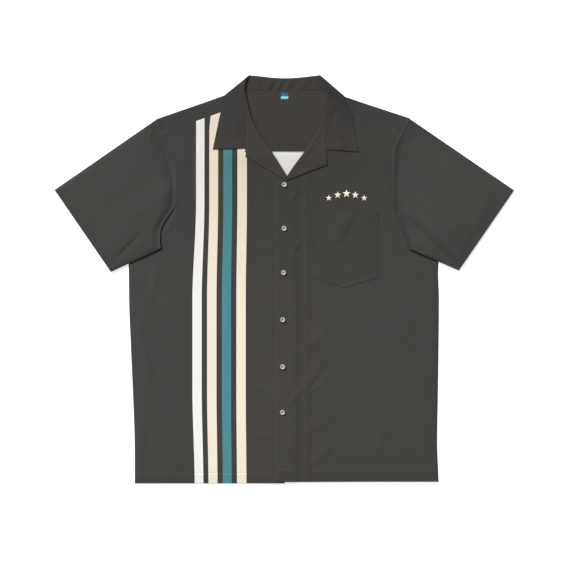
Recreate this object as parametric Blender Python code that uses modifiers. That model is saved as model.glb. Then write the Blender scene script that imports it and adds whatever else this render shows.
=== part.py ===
"""Short-sleeved camp-collar bowling shirt, laid flat, face up.

Metres, +Z up. The shirt lies on the plane z = 0 with its hem towards -Y and its collar towards
+Y; +X is the wearer's left. The origin is the middle of the shirt's footprint. The tables below
are in millimetres. Cloth walls are surfaces laid out as rows and columns of points, thickened by
Solidify; each layer's height comes from the layers that lie under it.
"""

import math
from collections import namedtuple

import bmesh
import bpy
from mathutils import Vector

MM = 0.001
NAME = "bowling_shirt"

# ---- Walls and gaps (mm) ----
WALL = 1.0
COLLAR_WALL = 1.2
SEAM_GAP = 0.3
LAYER = WALL + SEAM_GAP
ARMHOLE_GAP = 0.4

# ---- Body sizes (mm) ----
BACK_SEAM_Y = 242.3
SHOULDER_DROP = 29.8
PLACKET_EDGE_X = -14.3
FACING_LEFT_X = -52.0
FACING_RIGHT_X = 41.0
FACING_RISE = 0.9
PUFF = 0.8

# ---- Neck sizes (mm) ----
NECK_SEAM_Y = 356.7
NECK_WING_X = 89.0
INNER_YOKE_X = 84.0
FALL_EDGE_Y = 325.0
FALL_EDGE_RISE = 24.0
KINK_X = 115.0
FALL_LIFT = COLLAR_WALL + 2.0 * SEAM_GAP
INNER_LIFT = 1.7
TURN_OVER_LIFT = LAYER + 0.2
STAND_LEVEL = 3.5

# ---- Small pieces (mm) ----
POCKET = {"left": 52.3, "right": 178.6, "top": 129.3, "side_bottom": 2.9, "point": -17.0, "belly": 0.8}
LABEL = {"left": -7.6, "right": 8.4, "top": 354.8, "bottom": 339.0}
BUTTON_PROFILE = [(0.0, 1.4), (3.1, 1.4), (3.8, 2.1), (5.0, 1.6), (5.0, 0.6), (4.2, 0.0), (0.0, 0.0)]
BUTTON_SIDES = 12
BUTTON_HOLE_RADIUS = 0.65
BUTTON_HOLE_OFFSET = 1.25

Point = namedtuple("Point", "x y")
Row = namedtuple("Row", "left right steps")
Fold = namedtuple("Fold", "x0 y0 x1 y1 half_width height")
Station = namedtuple("Station", "name roll neck edge turn")
Shoulder = namedtuple("Shoulder", "point kink seam_at_armhole")
Sleeve = namedtuple("Sleeve", "name side armhole cuff_top cuff_bottom corner folds")

BUTTONS = [
    Point(-0.4, 180.0),
    Point(-0.6, 96.0),
    Point(-1.7, 12.1),
    Point(-3.2, -77.4),
    Point(-3.6, -166.7),
    Point(-3.8, -253.2),
]

# The shoulder fold runs straight from the armhole to the collar; the front yoke seam lies below it.
SHOULDERS = {
    -1: Shoulder(Point(-242.3, 305.0), Point(-115.0, 349.1), Point(-232.1, 278.3)),
    1: Shoulder(Point(235.6, 307.0), Point(115.9, 346.5), Point(222.3, 281.8)),
}

# Armhole seams from the shoulder down. Below the seventh point the sleeve lies over the body, and
# its own fold goes on to the underarm edge.
ARMHOLE_RIGHT = [
    Point(-242.3, 305.0),
    Point(-232.1, 278.3),
    Point(-219.5, 247.1),
    Point(-210.0, 218.6),
    Point(-205.4, 195.8),
    Point(-206.5, 159.7),
    Point(-210.0, 136.9),
    Point(-221.7, 117.9),
    Point(-233.5, 97.0),
    Point(-235.8, 82.7),
    Point(-234.7, 58.0),
]
ARMHOLE_LEFT = [
    Point(235.6, 307.0),
    Point(222.3, 281.8),
    Point(208.6, 256.6),
    Point(204.4, 218.6),
    Point(202.7, 180.6),
    Point(206.2, 148.3),
    Point(208.6, 127.0),
    Point(214.5, 108.0),
    Point(224.0, 93.0),
    Point(234.3, 76.1),
    Point(235.6, 58.0),
]

# Rows of the panels, from the hem up: where each row starts and ends, and the steps to the next.
FRONT_RIGHT_ROWS = [
    Row(Point(-284.2, -388.6), Point(0.5, -388.6), 3),
    Row(Point(-284.6, -313.4), Point(5.0, -313.4), 4),
    Row(Point(-287.7, -222.2), Point(8.0, -222.2), 4),
    Row(Point(-291.7, -131.0), Point(9.5, -131.0), 4),
    Row(Point(-295.3, -39.8), Point(9.5, -39.8), 3),
    Row(Point(-295.8, 9.6), Point(9.5, 30.0), 4),
    Row(Point(-297.0, 78.0), Point(9.5, 110.0), 2),
    Row(Point(-250.0, 109.0), Point(9.5, 150.0), 2),
    Row(Point(-210.0, 136.9), Point(5.0, 180.0), 2),
    Row(Point(-206.5, 159.7), Point(-3.0, 197.0), 3),
    Row(Point(-205.4, 195.8), Point(-24.8, 241.4), 3),
    Row(Point(-210.0, 218.6), Point(-54.8, 287.2), 2),
    Row(Point(-219.5, 247.1), Point(-70.5, 312.0), 2),
    Row(Point(-232.1, 278.0), Point(-NECK_WING_X, 327.0), 0),
]
FRONT_LEFT_ROWS = [
    Row(Point(PLACKET_EDGE_X, -385.6), Point(292.4, -385.6), 4),
    Row(Point(PLACKET_EDGE_X, -305.8), Point(289.8, -305.8), 5),
    Row(Point(PLACKET_EDGE_X, -222.2), Point(291.1, -222.2), 5),
    Row(Point(PLACKET_EDGE_X, -131.0), Point(292.4, -131.0), 5),
    Row(Point(PLACKET_EDGE_X, -39.8), Point(293.2, -39.8), 3),
    Row(Point(PLACKET_EDGE_X, 30.0), Point(291.7, 9.6), 4),
    Row(Point(PLACKET_EDGE_X, 110.0), Point(294.0, 78.0), 2),
    Row(Point(PLACKET_EDGE_X, 150.0), Point(250.0, 103.0), 2),
    Row(Point(PLACKET_EDGE_X, 182.0), Point(208.6, 127.0), 1),
    Row(Point(0.0, 185.0), Point(206.2, 148.3), 1),
    Row(Point(5.5, 197.0), Point(202.7, 180.6), 3),
    Row(Point(38.6, 240.8), Point(204.4, 218.6), 3),
    Row(Point(61.0, 275.0), Point(208.6, 256.6), 2),
    Row(Point(74.5, 306.0), Point(214.6, 268.0), 2),
    Row(Point(NECK_WING_X, 325.0), Point(222.3, 281.5), 0),
]
BACK_ROWS = [
    Row(Point(-284.2, -388.0), Point(292.4, -385.2), 4),
    Row(Point(-287.7, -222.2), Point(291.1, -222.2), 3),
    Row(Point(-295.3, -39.8), Point(293.2, -39.8), 2),
    Row(Point(-297.0, 78.0), Point(294.0, 78.0), 1),
    Row(Point(-250.0, 109.0), Point(250.0, 103.0), 1),
    Row(Point(-210.0, 136.9), Point(208.6, 127.0), 1),
    Row(Point(-206.5, 159.7), Point(206.2, 148.3), 1),
    Row(Point(-205.4, 195.8), Point(202.7, 180.6), 1),
    Row(Point(-210.0, 218.6), Point(204.4, 218.6), 1),
    Row(Point(-217.8, 242.0), Point(207.0, 242.0), 0),
]

# Where the columns stand, as X at the hem: close together at the placket and the facing's edge.
FRONT_RIGHT_COLUMNS = [
    -284.2, -272, -258, -243, -228, -212, -193, -173, -152, -131, -110, -90, -73, -59, -49, -34, -20, -8, 0.5,
]
FRONT_LEFT_COLUMNS = [
    PLACKET_EDGE_X, -1, 11, 20, 34, 44, 54, 66, 79, 93, 112, 132, 153, 175, 197, 219, 240, 259, 276, 292.4,
]
BACK_COLUMN_COUNT = 12

# The largest folds of the body: soft ridges from one end to the other.
BODY_FOLDS = [
    Fold(43, -211, 83, -146, 15, 1.6),
    Fold(41, -230, 86, -190, 13, 1.2),
    Fold(45, -296, 95, -266, 15, 1.3),
    Fold(58, -355, 94, -315, 15, 1.1),
    Fold(45, -142, 83, -100, 15, 1.3),
    Fold(52, -66, 96, -87, 15, 0.9),
    Fold(164, -350, 200, -262, 22, 0.9),
    Fold(248, -288, 277, -340, 17, 1.2),
    Fold(-241, 36, -261, -56, 15, 1.5),
    Fold(-228, 18, -243, -62, 11, -0.5),
    Fold(-281, -60, -262, -160, 14, 1.2),
]

# Collar stations from the wearer's right point round the back to the left point. The turn is 90
# where the fall lies on the front, 0 at the shoulder fold and -90 where it lies under the back.
STATIONS = [
    Station("right_notch", Point(-72.1, 249.8), None, Point(-134.8, 249.4), 90),
    Station("right_tip_side", Point(-72.1, 275), None, Point(-129.0, 274), 90),
    Station("right_mid", Point(-72.1, 300), None, Point(-123.3, 299), 90),
    Station("right_upper", Point(-72.1, 322), None, Point(-119.0, 320), 90),
    Station("right_roll", Point(-73.6, 345), Point(-86.0, 342), Point(-116.6, 334), 90),
    Station("right_rise", Point(-74.6, 362), Point(-85.5, 350), Point(-115.2, 342), 90),
    Station("right_crest", Point(-69.2, 381.5), Point(-84.8, 355.5), Point(-113.4, 346.2), 90),
    Station("right_fold_front", Point(-67.2, 386.1), Point(-84.3, 357.4), Point(-114.4, 348.0), 45),
    Station("right_fold", Point(-66.5, 387.4), Point(-84.0, 358.0), Point(-114.7, 348.7), 0),
    Station("right_fold_back", Point(-65.5, 387.1), Point(-83.5, 357.7), Point(-114.0, 347.3), -45),
    Station("right_behind", Point(-62.3, 386.9), Point(-81.0, 357.15), Point(-111.0, 343.5), -90),
    Station("back_right", Point(-45.0, 385.2), Point(-60.0, 357.15), Point(-85.0, 335.0), -90),
    Station("back_right_mid", Point(-22.0, 382.7), Point(-30.0, 357.15), Point(-42.0, 328.0), -90),
    Station("centre_back", Point(1.0, 381.6), Point(0.5, 357.15), Point(0.0, 325.5), -90),
    Station("back_left_mid", Point(24.0, 382.6), Point(31.0, 357.15), Point(42.0, 328.0), -90),
    Station("back_left", Point(46.5, 385.0), Point(61.0, 357.15), Point(85.0, 335.0), -90),
    Station("left_behind", Point(63.2, 386.9), Point(81.5, 357.15), Point(111.5, 341.5), -90),
    Station("left_fold_back", Point(66.4, 387.3), Point(84.0, 357.2), Point(114.8, 344.9), -45),
    Station("left_fold", Point(67.4, 387.4), Point(84.6, 357.4), Point(115.6, 346.1), 0),
    Station("left_fold_front", Point(68.2, 386.3), Point(85.0, 356.8), Point(115.4, 345.4), 45),
    Station("left_crest", Point(70.4, 381.2), Point(85.8, 354.8), Point(114.6, 343.4), 90),
    Station("left_rise", Point(79.0, 362.5), Point(87.0, 349.0), Point(117.8, 337.5), 90),
    Station("left_roll", Point(80.4, 345), Point(87.6, 341), Point(121.5, 330.0), 90),
    Station("left_upper", Point(80.0, 322), None, Point(127.0, 318), 90),
    Station("left_mid", Point(79.2, 298), None, Point(131.2, 295), 90),
    Station("left_tip_side", Point(78.0, 272), None, Point(135.8, 268.5), 90),
    Station("left_notch", Point(76.6, 246.4), None, Point(141.0, 242.4), 90),
]

# Lapels: the roll edge and the outer edge, from the first button up to the gorge.
LAPEL_RIGHT_ROWS = [
    Row(Point(-3.0, 190.3), Point(0.0, 194.5), 1),
    Row(Point(-38.0, 212.0), Point(-9.0, 218.5), 2),
    Row(Point(-74.3, 235.9), Point(-23.8, 241.4), 1),
    Row(Point(-71.3, 249.4), Point(-31.5, 253.5), 2),
    Row(Point(-71.3, 280.0), Point(-50.0, 281.5), 2),
    Row(Point(-71.3, 305.0), Point(-62.6, 305.5), 1),
    Row(Point(-71.3, 323.0), Point(-68.2, 323.2), 0),
]
LAPEL_LEFT_ROWS = [
    Row(Point(3.0, 193.5), Point(3.5, 187.8), 1),
    Row(Point(14.5, 211.5), Point(40.0, 201.6), 2),
    Row(Point(30.0, 231.5), Point(80.7, 217.5), 2),
    Row(Point(40.5, 245.5), Point(75.8, 245.8), 2),
    Row(Point(58.5, 272.5), Point(77.2, 272.4), 2),
    Row(Point(70.7, 300.0), Point(78.4, 300.0), 1),
    Row(Point(77.2, 321.0), Point(79.3, 321.0), 0),
]
LAPEL_COLUMN_COUNT = 5

SLEEVE_RIGHT = Sleeve(
    "sleeve_right",
    -1,
    ARMHOLE_RIGHT,
    Point(-437.0, 170.1),
    Point(-329.7, 14.3),
    (Point(-297.0, 80.0), Point(-210.0, 137.0)),
    [
        Fold(-322, 30, -293, 71, 17, 1.5),
        Fold(-293, 71, -272, 84, 14, 1.1),
        Fold(-300, 52, -300, 20, 12, 0.7),
    ],
)
SLEEVE_LEFT = Sleeve(
    "sleeve_left",
    1,
    ARMHOLE_LEFT,
    Point(437.0, 169.2),
    Point(331.6, 16.2),
    (Point(294.0, 80.0), Point(208.6, 127.0)),
    [
        Fold(214, 146, 237, 113, 12, 1.2),
        Fold(237, 113, 294, 57, 17, 1.8),
        Fold(294, 57, 333, 18, 19, 1.9),
    ],
)
SLEEVE_RINGS = [0.0, 0.05, 0.11, 0.18, 0.26, 0.35, 0.45, 0.56, 0.68, 0.8, 0.9, 1.0]
SLEEVE_HOLLOW = 1.2
CORNER_RAMP = 30.0
CORNER_MARGIN = 12.0
QUARTER_TURN = (0.0, 45.0, 90.0)


# ---- Small maths ----


def clamp(value):
    return max(0.0, min(1.0, value))


def smooth(value):
    value = clamp(value)
    return value * value * (3.0 - 2.0 * value)


def mix(a, b, t):
    return a + (b - a) * t


def mix_points(a, b, t):
    return Point(mix(a.x, b.x, t), mix(a.y, b.y, t))


def distance(a, b):
    return math.hypot(b.x - a.x, b.y - a.y)


def fold_height(x, y, folds):
    """The folds' soft ridges, added up: each fades to nothing at its ends and sides."""
    total = 0.0
    for fold in folds:
        run_x = fold.x1 - fold.x0
        run_y = fold.y1 - fold.y0
        length = math.hypot(run_x, run_y)
        along = ((x - fold.x0) * run_x + (y - fold.y0) * run_y) / length
        across = abs((x - fold.x0) * run_y - (y - fold.y0) * run_x) / length
        ends = smooth((along + fold.half_width) / (1.5 * fold.half_width))
        ends *= smooth((length + fold.half_width - along) / (1.5 * fold.half_width))
        total += fold.height * smooth(1.0 - across / fold.half_width) * ends
    return total


# ---- Heights: each layer lies on what is under it ----


def fall_edge_y(x):
    return FALL_EDGE_Y + FALL_EDGE_RISE * (abs(x) / KINK_X) ** 2


def back_low(x, y):
    """Underside of the yoke's lower layer: on the surface, and up over the collar's fall."""
    over_fall = smooth((y - fall_edge_y(x) + 28.0) / 20.0) * smooth((142.0 - abs(x)) / 20.0)
    return FALL_LIFT * over_fall


def front_low(x, y):
    """Underside of the fronts and of the yoke's upper layer."""
    over_inner = smooth((y - 208.0) / 32.0) * smooth((132.0 - abs(x)) / 40.0)
    puff = PUFF * smooth((282.0 - abs(x)) / 70.0) * smooth((y + 385.0) / 70.0) * smooth((285.0 - y) / 70.0)
    facing = smooth((x - FACING_LEFT_X + 6.0) / 8.0) * smooth((FACING_RIGHT_X + 6.0 - x) / 8.0)
    facing *= smooth((225.0 - y) / 40.0)
    folds = fold_height(x, y, BODY_FOLDS)
    return LAYER + back_low(x, y) + INNER_LIFT * over_inner + puff + FACING_RISE * facing + folds


def over_front_low(x, y):
    """Underside of the wearer's left front, which laps over the right one at the placket."""
    lap = smooth((34.0 - x) / 18.0) * smooth((226.0 - y) / 26.0)
    return front_low(x, y) + LAYER * lap


# ---- Making objects ----


def plain_material(name, colour, roughness):
    material = bpy.data.materials.new(name)
    material.use_nodes = True
    shader = material.node_tree.nodes["Principled BSDF"]
    shader.inputs["Base Color"].default_value = (*colour, 1.0)
    shader.inputs["Roughness"].default_value = roughness
    shader.inputs["Metallic"].default_value = 0.0
    material.diffuse_color = (*colour, 1.0)
    return material


def link_piece(name, mesh, material, collection):
    piece = bpy.data.objects.new(name, mesh)
    piece.data.materials.append(material)
    collection.objects.link(piece)
    return piece


def cloth(name, rows, material, collection, wall=WALL, side=1.0, closed=False, kept=None):
    """An open surface through rows of (x, y, z) in mm, thickened along its normals by Solidify.

    Rows that run towards +Y, of points that run towards +X, face up.
    """
    shape = bmesh.new()
    grid = [[shape.verts.new(Vector(point) * MM) for point in row] for row in rows]
    column_count = len(rows[0])
    for i in range(len(rows) - 1):
        for j in range(column_count if closed else column_count - 1):
            if kept and not kept(i, j):
                continue
            after = (j + 1) % column_count
            shape.faces.new((grid[i][j], grid[i][after], grid[i + 1][after], grid[i + 1][j]))
    loose = [vertex for vertex in shape.verts if not vertex.link_faces]
    bmesh.ops.delete(shape, geom=loose, context="VERTS")
    mesh = bpy.data.meshes.new(name)
    shape.to_mesh(mesh)
    shape.free()
    piece = link_piece(name, mesh, material, collection)
    thicken = piece.modifiers.new("wall", "SOLIDIFY")
    thicken.thickness = wall * MM
    thicken.offset = side
    thicken.use_even_offset = True
    mesh.shade_smooth()
    mesh.set_sharp_from_angle(angle=math.radians(40.0))
    return piece


def panel_rows(table, fractions):
    """Plan points of a panel: straight rows between the two edges of its table."""
    rows = []
    for row, after in zip(table, table[1:]):
        for step in range(row.steps):
            t = step / row.steps
            left = mix_points(row.left, after.left, t)
            right = mix_points(row.right, after.right, t)
            rows.append([mix_points(left, right, u) for u in fractions])
    rows.append([mix_points(table[-1].left, table[-1].right, u) for u in fractions])
    return rows


def column_fractions(columns):
    return [(x - columns[0]) / (columns[-1] - columns[0]) for x in columns]


def even_fractions(count):
    return [i / count for i in range(count + 1)]


def lay(rows, height):
    """Gives each plan point its height."""
    return [[(p.x, p.y, height(p.x, p.y)) for p in row] for row in rows]


# ---- Pieces ----


def make_back(material, collection):
    rows = panel_rows(BACK_ROWS, even_fractions(BACK_COLUMN_COUNT))
    return cloth("back_panel", lay(rows, lambda x, y: 0.0), material, collection)


def make_fronts(material, collection):
    right = panel_rows(FRONT_RIGHT_ROWS, column_fractions(FRONT_RIGHT_COLUMNS))
    cloth("front_right", lay(right, front_low), material, collection)
    left = panel_rows(FRONT_LEFT_ROWS, column_fractions(FRONT_LEFT_COLUMNS))
    cloth("front_left", lay(left, over_front_low), material, collection)


def shoulder_y(side, x):
    shoulder = SHOULDERS[side]
    slope = (shoulder.kink.y - shoulder.point.y) / (shoulder.kink.x - shoulder.point.x)
    return shoulder.point.y + slope * (x - shoulder.point.x)


def yoke_wing_column(side, u):
    """One column of a yoke wing, from the back seam up, over the shoulder fold, to the front seam."""
    shoulder = SHOULDERS[side]
    armhole_bottom = (ARMHOLE_RIGHT if side < 0 else ARMHOLE_LEFT)[2:4]
    neck_x = side * NECK_WING_X
    top_x = mix(shoulder.point.x, neck_x, u)
    tuck = 2.4 * smooth((abs(shoulder.point.x) - abs(top_x) - 104.0) / 13.0)
    top = Point(top_x, shoulder_y(side, top_x))
    slope = math.atan2(shoulder.kink.y - shoulder.point.y, abs(shoulder.kink.x - shoulder.point.x))
    outward = Point(side * math.sin(slope), math.cos(slope))
    top_height = front_low(top.x, top.y) + WALL
    radius = (top_height - back_low(top.x, top.y)) / 2.0
    centre = Point(top.x - outward.x * (radius + tuck), top.y - outward.y * (radius + tuck))

    seam_t = (BACK_SEAM_Y + 0.3 - armhole_bottom[1].y) / (armhole_bottom[0].y - armhole_bottom[1].y)
    seam_x = mix(armhole_bottom[1].x, armhole_bottom[0].x, seam_t)
    seam = Point(mix(seam_x, neck_x, u), BACK_SEAM_Y + 0.3)
    corner = Point(mix(armhole_bottom[0].x, neck_x, u), mix(armhole_bottom[0].y, 250.0, u))
    column = [(seam.x, seam.y, back_low(seam.x, seam.y))]
    for t in YOKE_BACK_STEPS:
        p = mix_points(corner, centre, t)
        column.append((p.x, p.y, back_low(p.x, p.y)))
    low = back_low(centre.x, centre.y)
    for angle in (-45.0, 0.0, 45.0):
        reach = radius * math.cos(math.radians(angle))
        height = low + radius * (1.0 + math.sin(math.radians(angle)))
        column.append((centre.x + outward.x * reach, centre.y + outward.y * reach, height))
    front_seam = mix_points(shoulder.seam_at_armhole, Point(neck_x, shoulder_y(side, neck_x) - SHOULDER_DROP), u)
    for t in YOKE_FRONT_STEPS:
        p = mix_points(centre, front_seam, t)
        column.append((p.x, p.y, front_low(p.x, p.y) + WALL))
    return column


YOKE_BACK_STEPS = [0.0, 0.25, 0.5, 0.62, 0.74, 0.84, 0.93, 1.0]
YOKE_FRONT_STEPS = [0.0, 0.33, 0.66, 1.0]
YOKE_WING_COUNT = 9
YOKE_MIDDLE_COUNT = 12


def yoke_middle_column(x):
    column = [(x, BACK_SEAM_Y + 0.3, back_low(x, BACK_SEAM_Y + 0.3))]
    for t in YOKE_BACK_STEPS:
        y = mix(250.0, NECK_SEAM_Y, t)
        column.append((x, y, back_low(x, y)))
    return column


def make_yokes(material, collection):
    right_wing = [yoke_wing_column(-1, u) for u in even_fractions(YOKE_WING_COUNT)]
    left_wing = [yoke_wing_column(1, u) for u in reversed(even_fractions(YOKE_WING_COUNT))]
    back_count = len(YOKE_BACK_STEPS) + 1
    middle_x = [mix(-NECK_WING_X, NECK_WING_X, u) for u in even_fractions(YOKE_MIDDLE_COUNT)[1:-1]]
    middle = [yoke_middle_column(x) for x in middle_x]
    unused = [middle[0][-1]] * (len(right_wing[0]) - back_count)
    columns = right_wing + [column + unused for column in middle] + left_wing
    rows = [list(row) for row in zip(*columns)]
    first_middle = YOKE_WING_COUNT
    last_middle = YOKE_WING_COUNT + YOKE_MIDDLE_COUNT - 1

    def kept(i, j):
        return i < back_count - 1 or j < first_middle or j > last_middle

    cloth("yoke", rows, material, collection, kept=kept)
    inner_x = [mix(-INNER_YOKE_X, INNER_YOKE_X, u) for u in even_fractions(YOKE_MIDDLE_COUNT)]
    inner = [[(x, y, z + LAYER) for x, y, z in yoke_middle_column(x)] for x in inner_x]
    cloth("yoke_inner", [list(row) for row in zip(*inner)], material, collection)


def collar_column(station):
    """One section of the collar: the stand, the roll and the fall, through the wall's middle."""
    side = math.sin(math.radians(station.turn))

    def fall_height(x, y):
        front = front_low(x, y) + TURN_OVER_LIFT + COLLAR_WALL / 2.0
        return mix(COLLAR_WALL / 2.0, front, (1.0 + side) / 2.0)

    def stand_height(x, y):
        front = front_low(x, y) + COLLAR_WALL / 2.0
        return mix(STAND_LEVEL, front, (1.0 + side) / 2.0)

    roll = station.roll
    neck = station.neck or roll
    fall_top = fall_height(roll.x, roll.y)
    stand_top = stand_height(roll.x, roll.y)
    middle = (fall_top + stand_top) / 2.0
    radius = max(abs(fall_top - stand_top) / 2.0, 0.9)
    column = []
    for t in STAND_STEPS:
        near = mix_points(roll, neck, radius / max(distance(roll, neck), radius))
        p = mix_points(neck, near, t)
        column.append((p.x, p.y, stand_height(p.x, p.y)))
    quarter = 1.0 - math.cos(math.radians(45.0))
    quarter_rise = math.sin(math.radians(45.0))
    p = mix_points(roll, neck, radius * quarter / max(distance(roll, neck), radius))
    column.append((p.x, p.y, middle + (stand_top - middle) * quarter_rise))
    has_roll = station.neck is not None
    column.append((roll.x, roll.y, middle if has_roll else fall_top))
    edge_run = distance(roll, station.edge)
    if has_roll:
        p = mix_points(roll, station.edge, radius * quarter / edge_run)
        column.append((p.x, p.y, middle + (fall_top - middle) * quarter_rise))
        near = mix_points(roll, station.edge, radius / edge_run)
    else:
        p = mix_points(roll, station.edge, 0.03)
        column.append((p.x, p.y, fall_height(p.x, p.y)))
        near = mix_points(roll, station.edge, 0.08)
    for t in FALL_STEPS:
        p = mix_points(near, station.edge, t)
        column.append((p.x, p.y, fall_height(p.x, p.y)))
    return column


STAND_STEPS = [0.0, 0.5, 1.0]
FALL_STEPS = [0.0, 0.2, 0.45, 0.72, 1.0]


def make_collar(material, collection):
    columns = [collar_column(station) for station in STATIONS]
    rows = [list(row) for row in zip(*columns)]
    stand_rows = len(STAND_STEPS) + 1

    def kept(i, j):
        return i >= stand_rows or (STATIONS[j].neck is not None and STATIONS[j + 1].neck is not None)

    cloth("collar", rows, material, collection, wall=COLLAR_WALL, side=0.0, kept=kept)


def make_lapels(material, collection):
    fractions = even_fractions(LAPEL_COLUMN_COUNT)
    right = panel_rows(LAPEL_RIGHT_ROWS, fractions)
    left = panel_rows(LAPEL_LEFT_ROWS, fractions)
    right_height = lay(right, lambda x, y: front_low(x, y) + TURN_OVER_LIFT)
    left_height = lay(left, lambda x, y: over_front_low(x, y) + TURN_OVER_LIFT + 0.1)
    cloth("lapel_right", right_height, material, collection, wall=COLLAR_WALL)
    cloth("lapel_left", left_height, material, collection, wall=COLLAR_WALL)


def sleeve_point(sleeve, armhole, s, v):
    """Plan point of a sleeve: s runs from the armhole to the cuff, v from the top fold down."""
    index = min(int(v * (len(armhole) - 1)), len(armhole) - 2)
    at_armhole = mix_points(armhole[index], armhole[index + 1], v * (len(armhole) - 1) - index)
    at_cuff = mix_points(sleeve.cuff_top, sleeve.cuff_bottom, v)
    on_top = mix_points(armhole[0], sleeve.cuff_top, s)
    on_bottom = mix_points(armhole[-1], sleeve.cuff_bottom, s)
    upper = mix_points(armhole[0], sleeve.cuff_top, s)
    lower = mix_points(armhole[-1], sleeve.cuff_bottom, s)
    across = mix_points(at_armhole, at_cuff, s)
    down = mix_points(on_top, on_bottom, v)
    corners = mix_points(upper, lower, v)
    return Point(across.x + down.x - corners.x, across.y + down.y - corners.y)


def corner_cover(sleeve, x, y):
    """1 where the sleeve lies over the body's underarm corner, 0 well outside it."""
    outer, inner = sleeve.corner
    run = distance(outer, inner)
    inside_side = (x - outer.x) * -sleeve.side
    inside_top = ((x - outer.x) * -sleeve.side * (inner.y - outer.y) - (y - outer.y) * abs(inner.x - outer.x)) / run
    return smooth((min(inside_side, inside_top) + CORNER_RAMP + CORNER_MARGIN) / CORNER_RAMP)


def sleeve_low(sleeve, x, y):
    return corner_cover(sleeve, x, y) * (front_low(x, y) + LAYER + 0.1)


def sleeve_top(sleeve, s, v, x, y):
    low = sleeve_low(sleeve, x, y)
    beside_front = front_low(x, y) - LAYER
    away = SLEEVE_HOLLOW * math.sin(math.pi * clamp(v)) + fold_height(x, y, sleeve.folds)
    hollow = mix(beside_front * (1.0 - corner_cover(sleeve, x, y)), away, smooth(s / 0.3))
    return low + LAYER + max(hollow, 0.0) + WALL


def sleeve_ring(sleeve, armhole, s):
    """One closed ring of the flattened tube: over the top, round the lower fold and back below."""
    length = distance(sleeve_point(sleeve, armhole, s, 0.0), sleeve_point(sleeve, armhole, s, 1.0))
    regular = even_fractions(len(armhole) - 1)[1:-1]

    def section(v):
        p = sleeve_point(sleeve, armhole, s, v)
        return p, sleeve_low(sleeve, p.x, p.y), sleeve_top(sleeve, s, v, p.x, p.y)

    def edge_points(v_edge, inward):
        edge, low, top = section(v_edge)
        radius = (top - low) / 2.0
        points = []
        for angle in QUARTER_TURN:
            inset = radius * (1.0 - math.cos(math.radians(angle)))
            v = v_edge + inward * inset / length
            p = sleeve_point(sleeve, armhole, s, v)
            rise = radius * math.sin(math.radians(angle))
            points.append((p, (low + top) / 2.0, rise))
        return points

    upper_edge = edge_points(0.0, 1.0)
    lower_edge = edge_points(1.0, -1.0)
    ring = [(p.x, p.y, mid + rise) for p, mid, rise in upper_edge]
    for v in regular:
        p, low, top = section(v)
        ring.append((p.x, p.y, top))
    ring += [(p.x, p.y, mid + rise) for p, mid, rise in reversed(lower_edge)]
    ring += [(p.x, p.y, mid - rise) for p, mid, rise in lower_edge[1:]]
    for v in reversed(regular):
        p, low, top = section(v)
        ring.append((p.x, p.y, low))
    ring += [(p.x, p.y, mid - rise) for p, mid, rise in reversed(upper_edge[1:])]
    return ring


def make_sleeve(sleeve, material, collection):
    armhole = [Point(p.x + sleeve.side * ARMHOLE_GAP, p.y) for p in sleeve.armhole]
    rings = [sleeve_ring(sleeve, armhole, s) for s in SLEEVE_RINGS]
    cloth(sleeve.name, rings, material, collection, side=-sleeve.side, closed=True)


def pocket_bottom(x):
    middle = (POCKET["left"] + POCKET["right"]) / 2.0
    half = (POCKET["right"] - POCKET["left"]) / 2.0
    return mix(POCKET["point"], POCKET["side_bottom"], abs(x - middle) / half)


def make_pocket(material, collection):
    rows = []
    for v in even_fractions(11):
        row = []
        for u in even_fractions(10):
            x = mix(POCKET["left"], POCKET["right"], u)
            y = mix(pocket_bottom(x), POCKET["top"], v)
            belly = POCKET["belly"] * smooth(4.0 * u * (1.0 - u)) * smooth(v * 2.0)
            row.append((x, y, over_front_low(x, y) + LAYER + 0.1 + belly))
        rows.append(row)
    cloth("pocket", rows, material, collection)


def make_label(material, collection):
    rows = []
    for v in even_fractions(3):
        y = mix(LABEL["bottom"], LABEL["top"], v)
        row = [mix(LABEL["left"], LABEL["right"], u) for u in even_fractions(3)]
        rows.append([(x, y, back_low(x, y) + 2.0 * LAYER + 0.05) for x in row])
    cloth("label", rows, material, collection)


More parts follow.
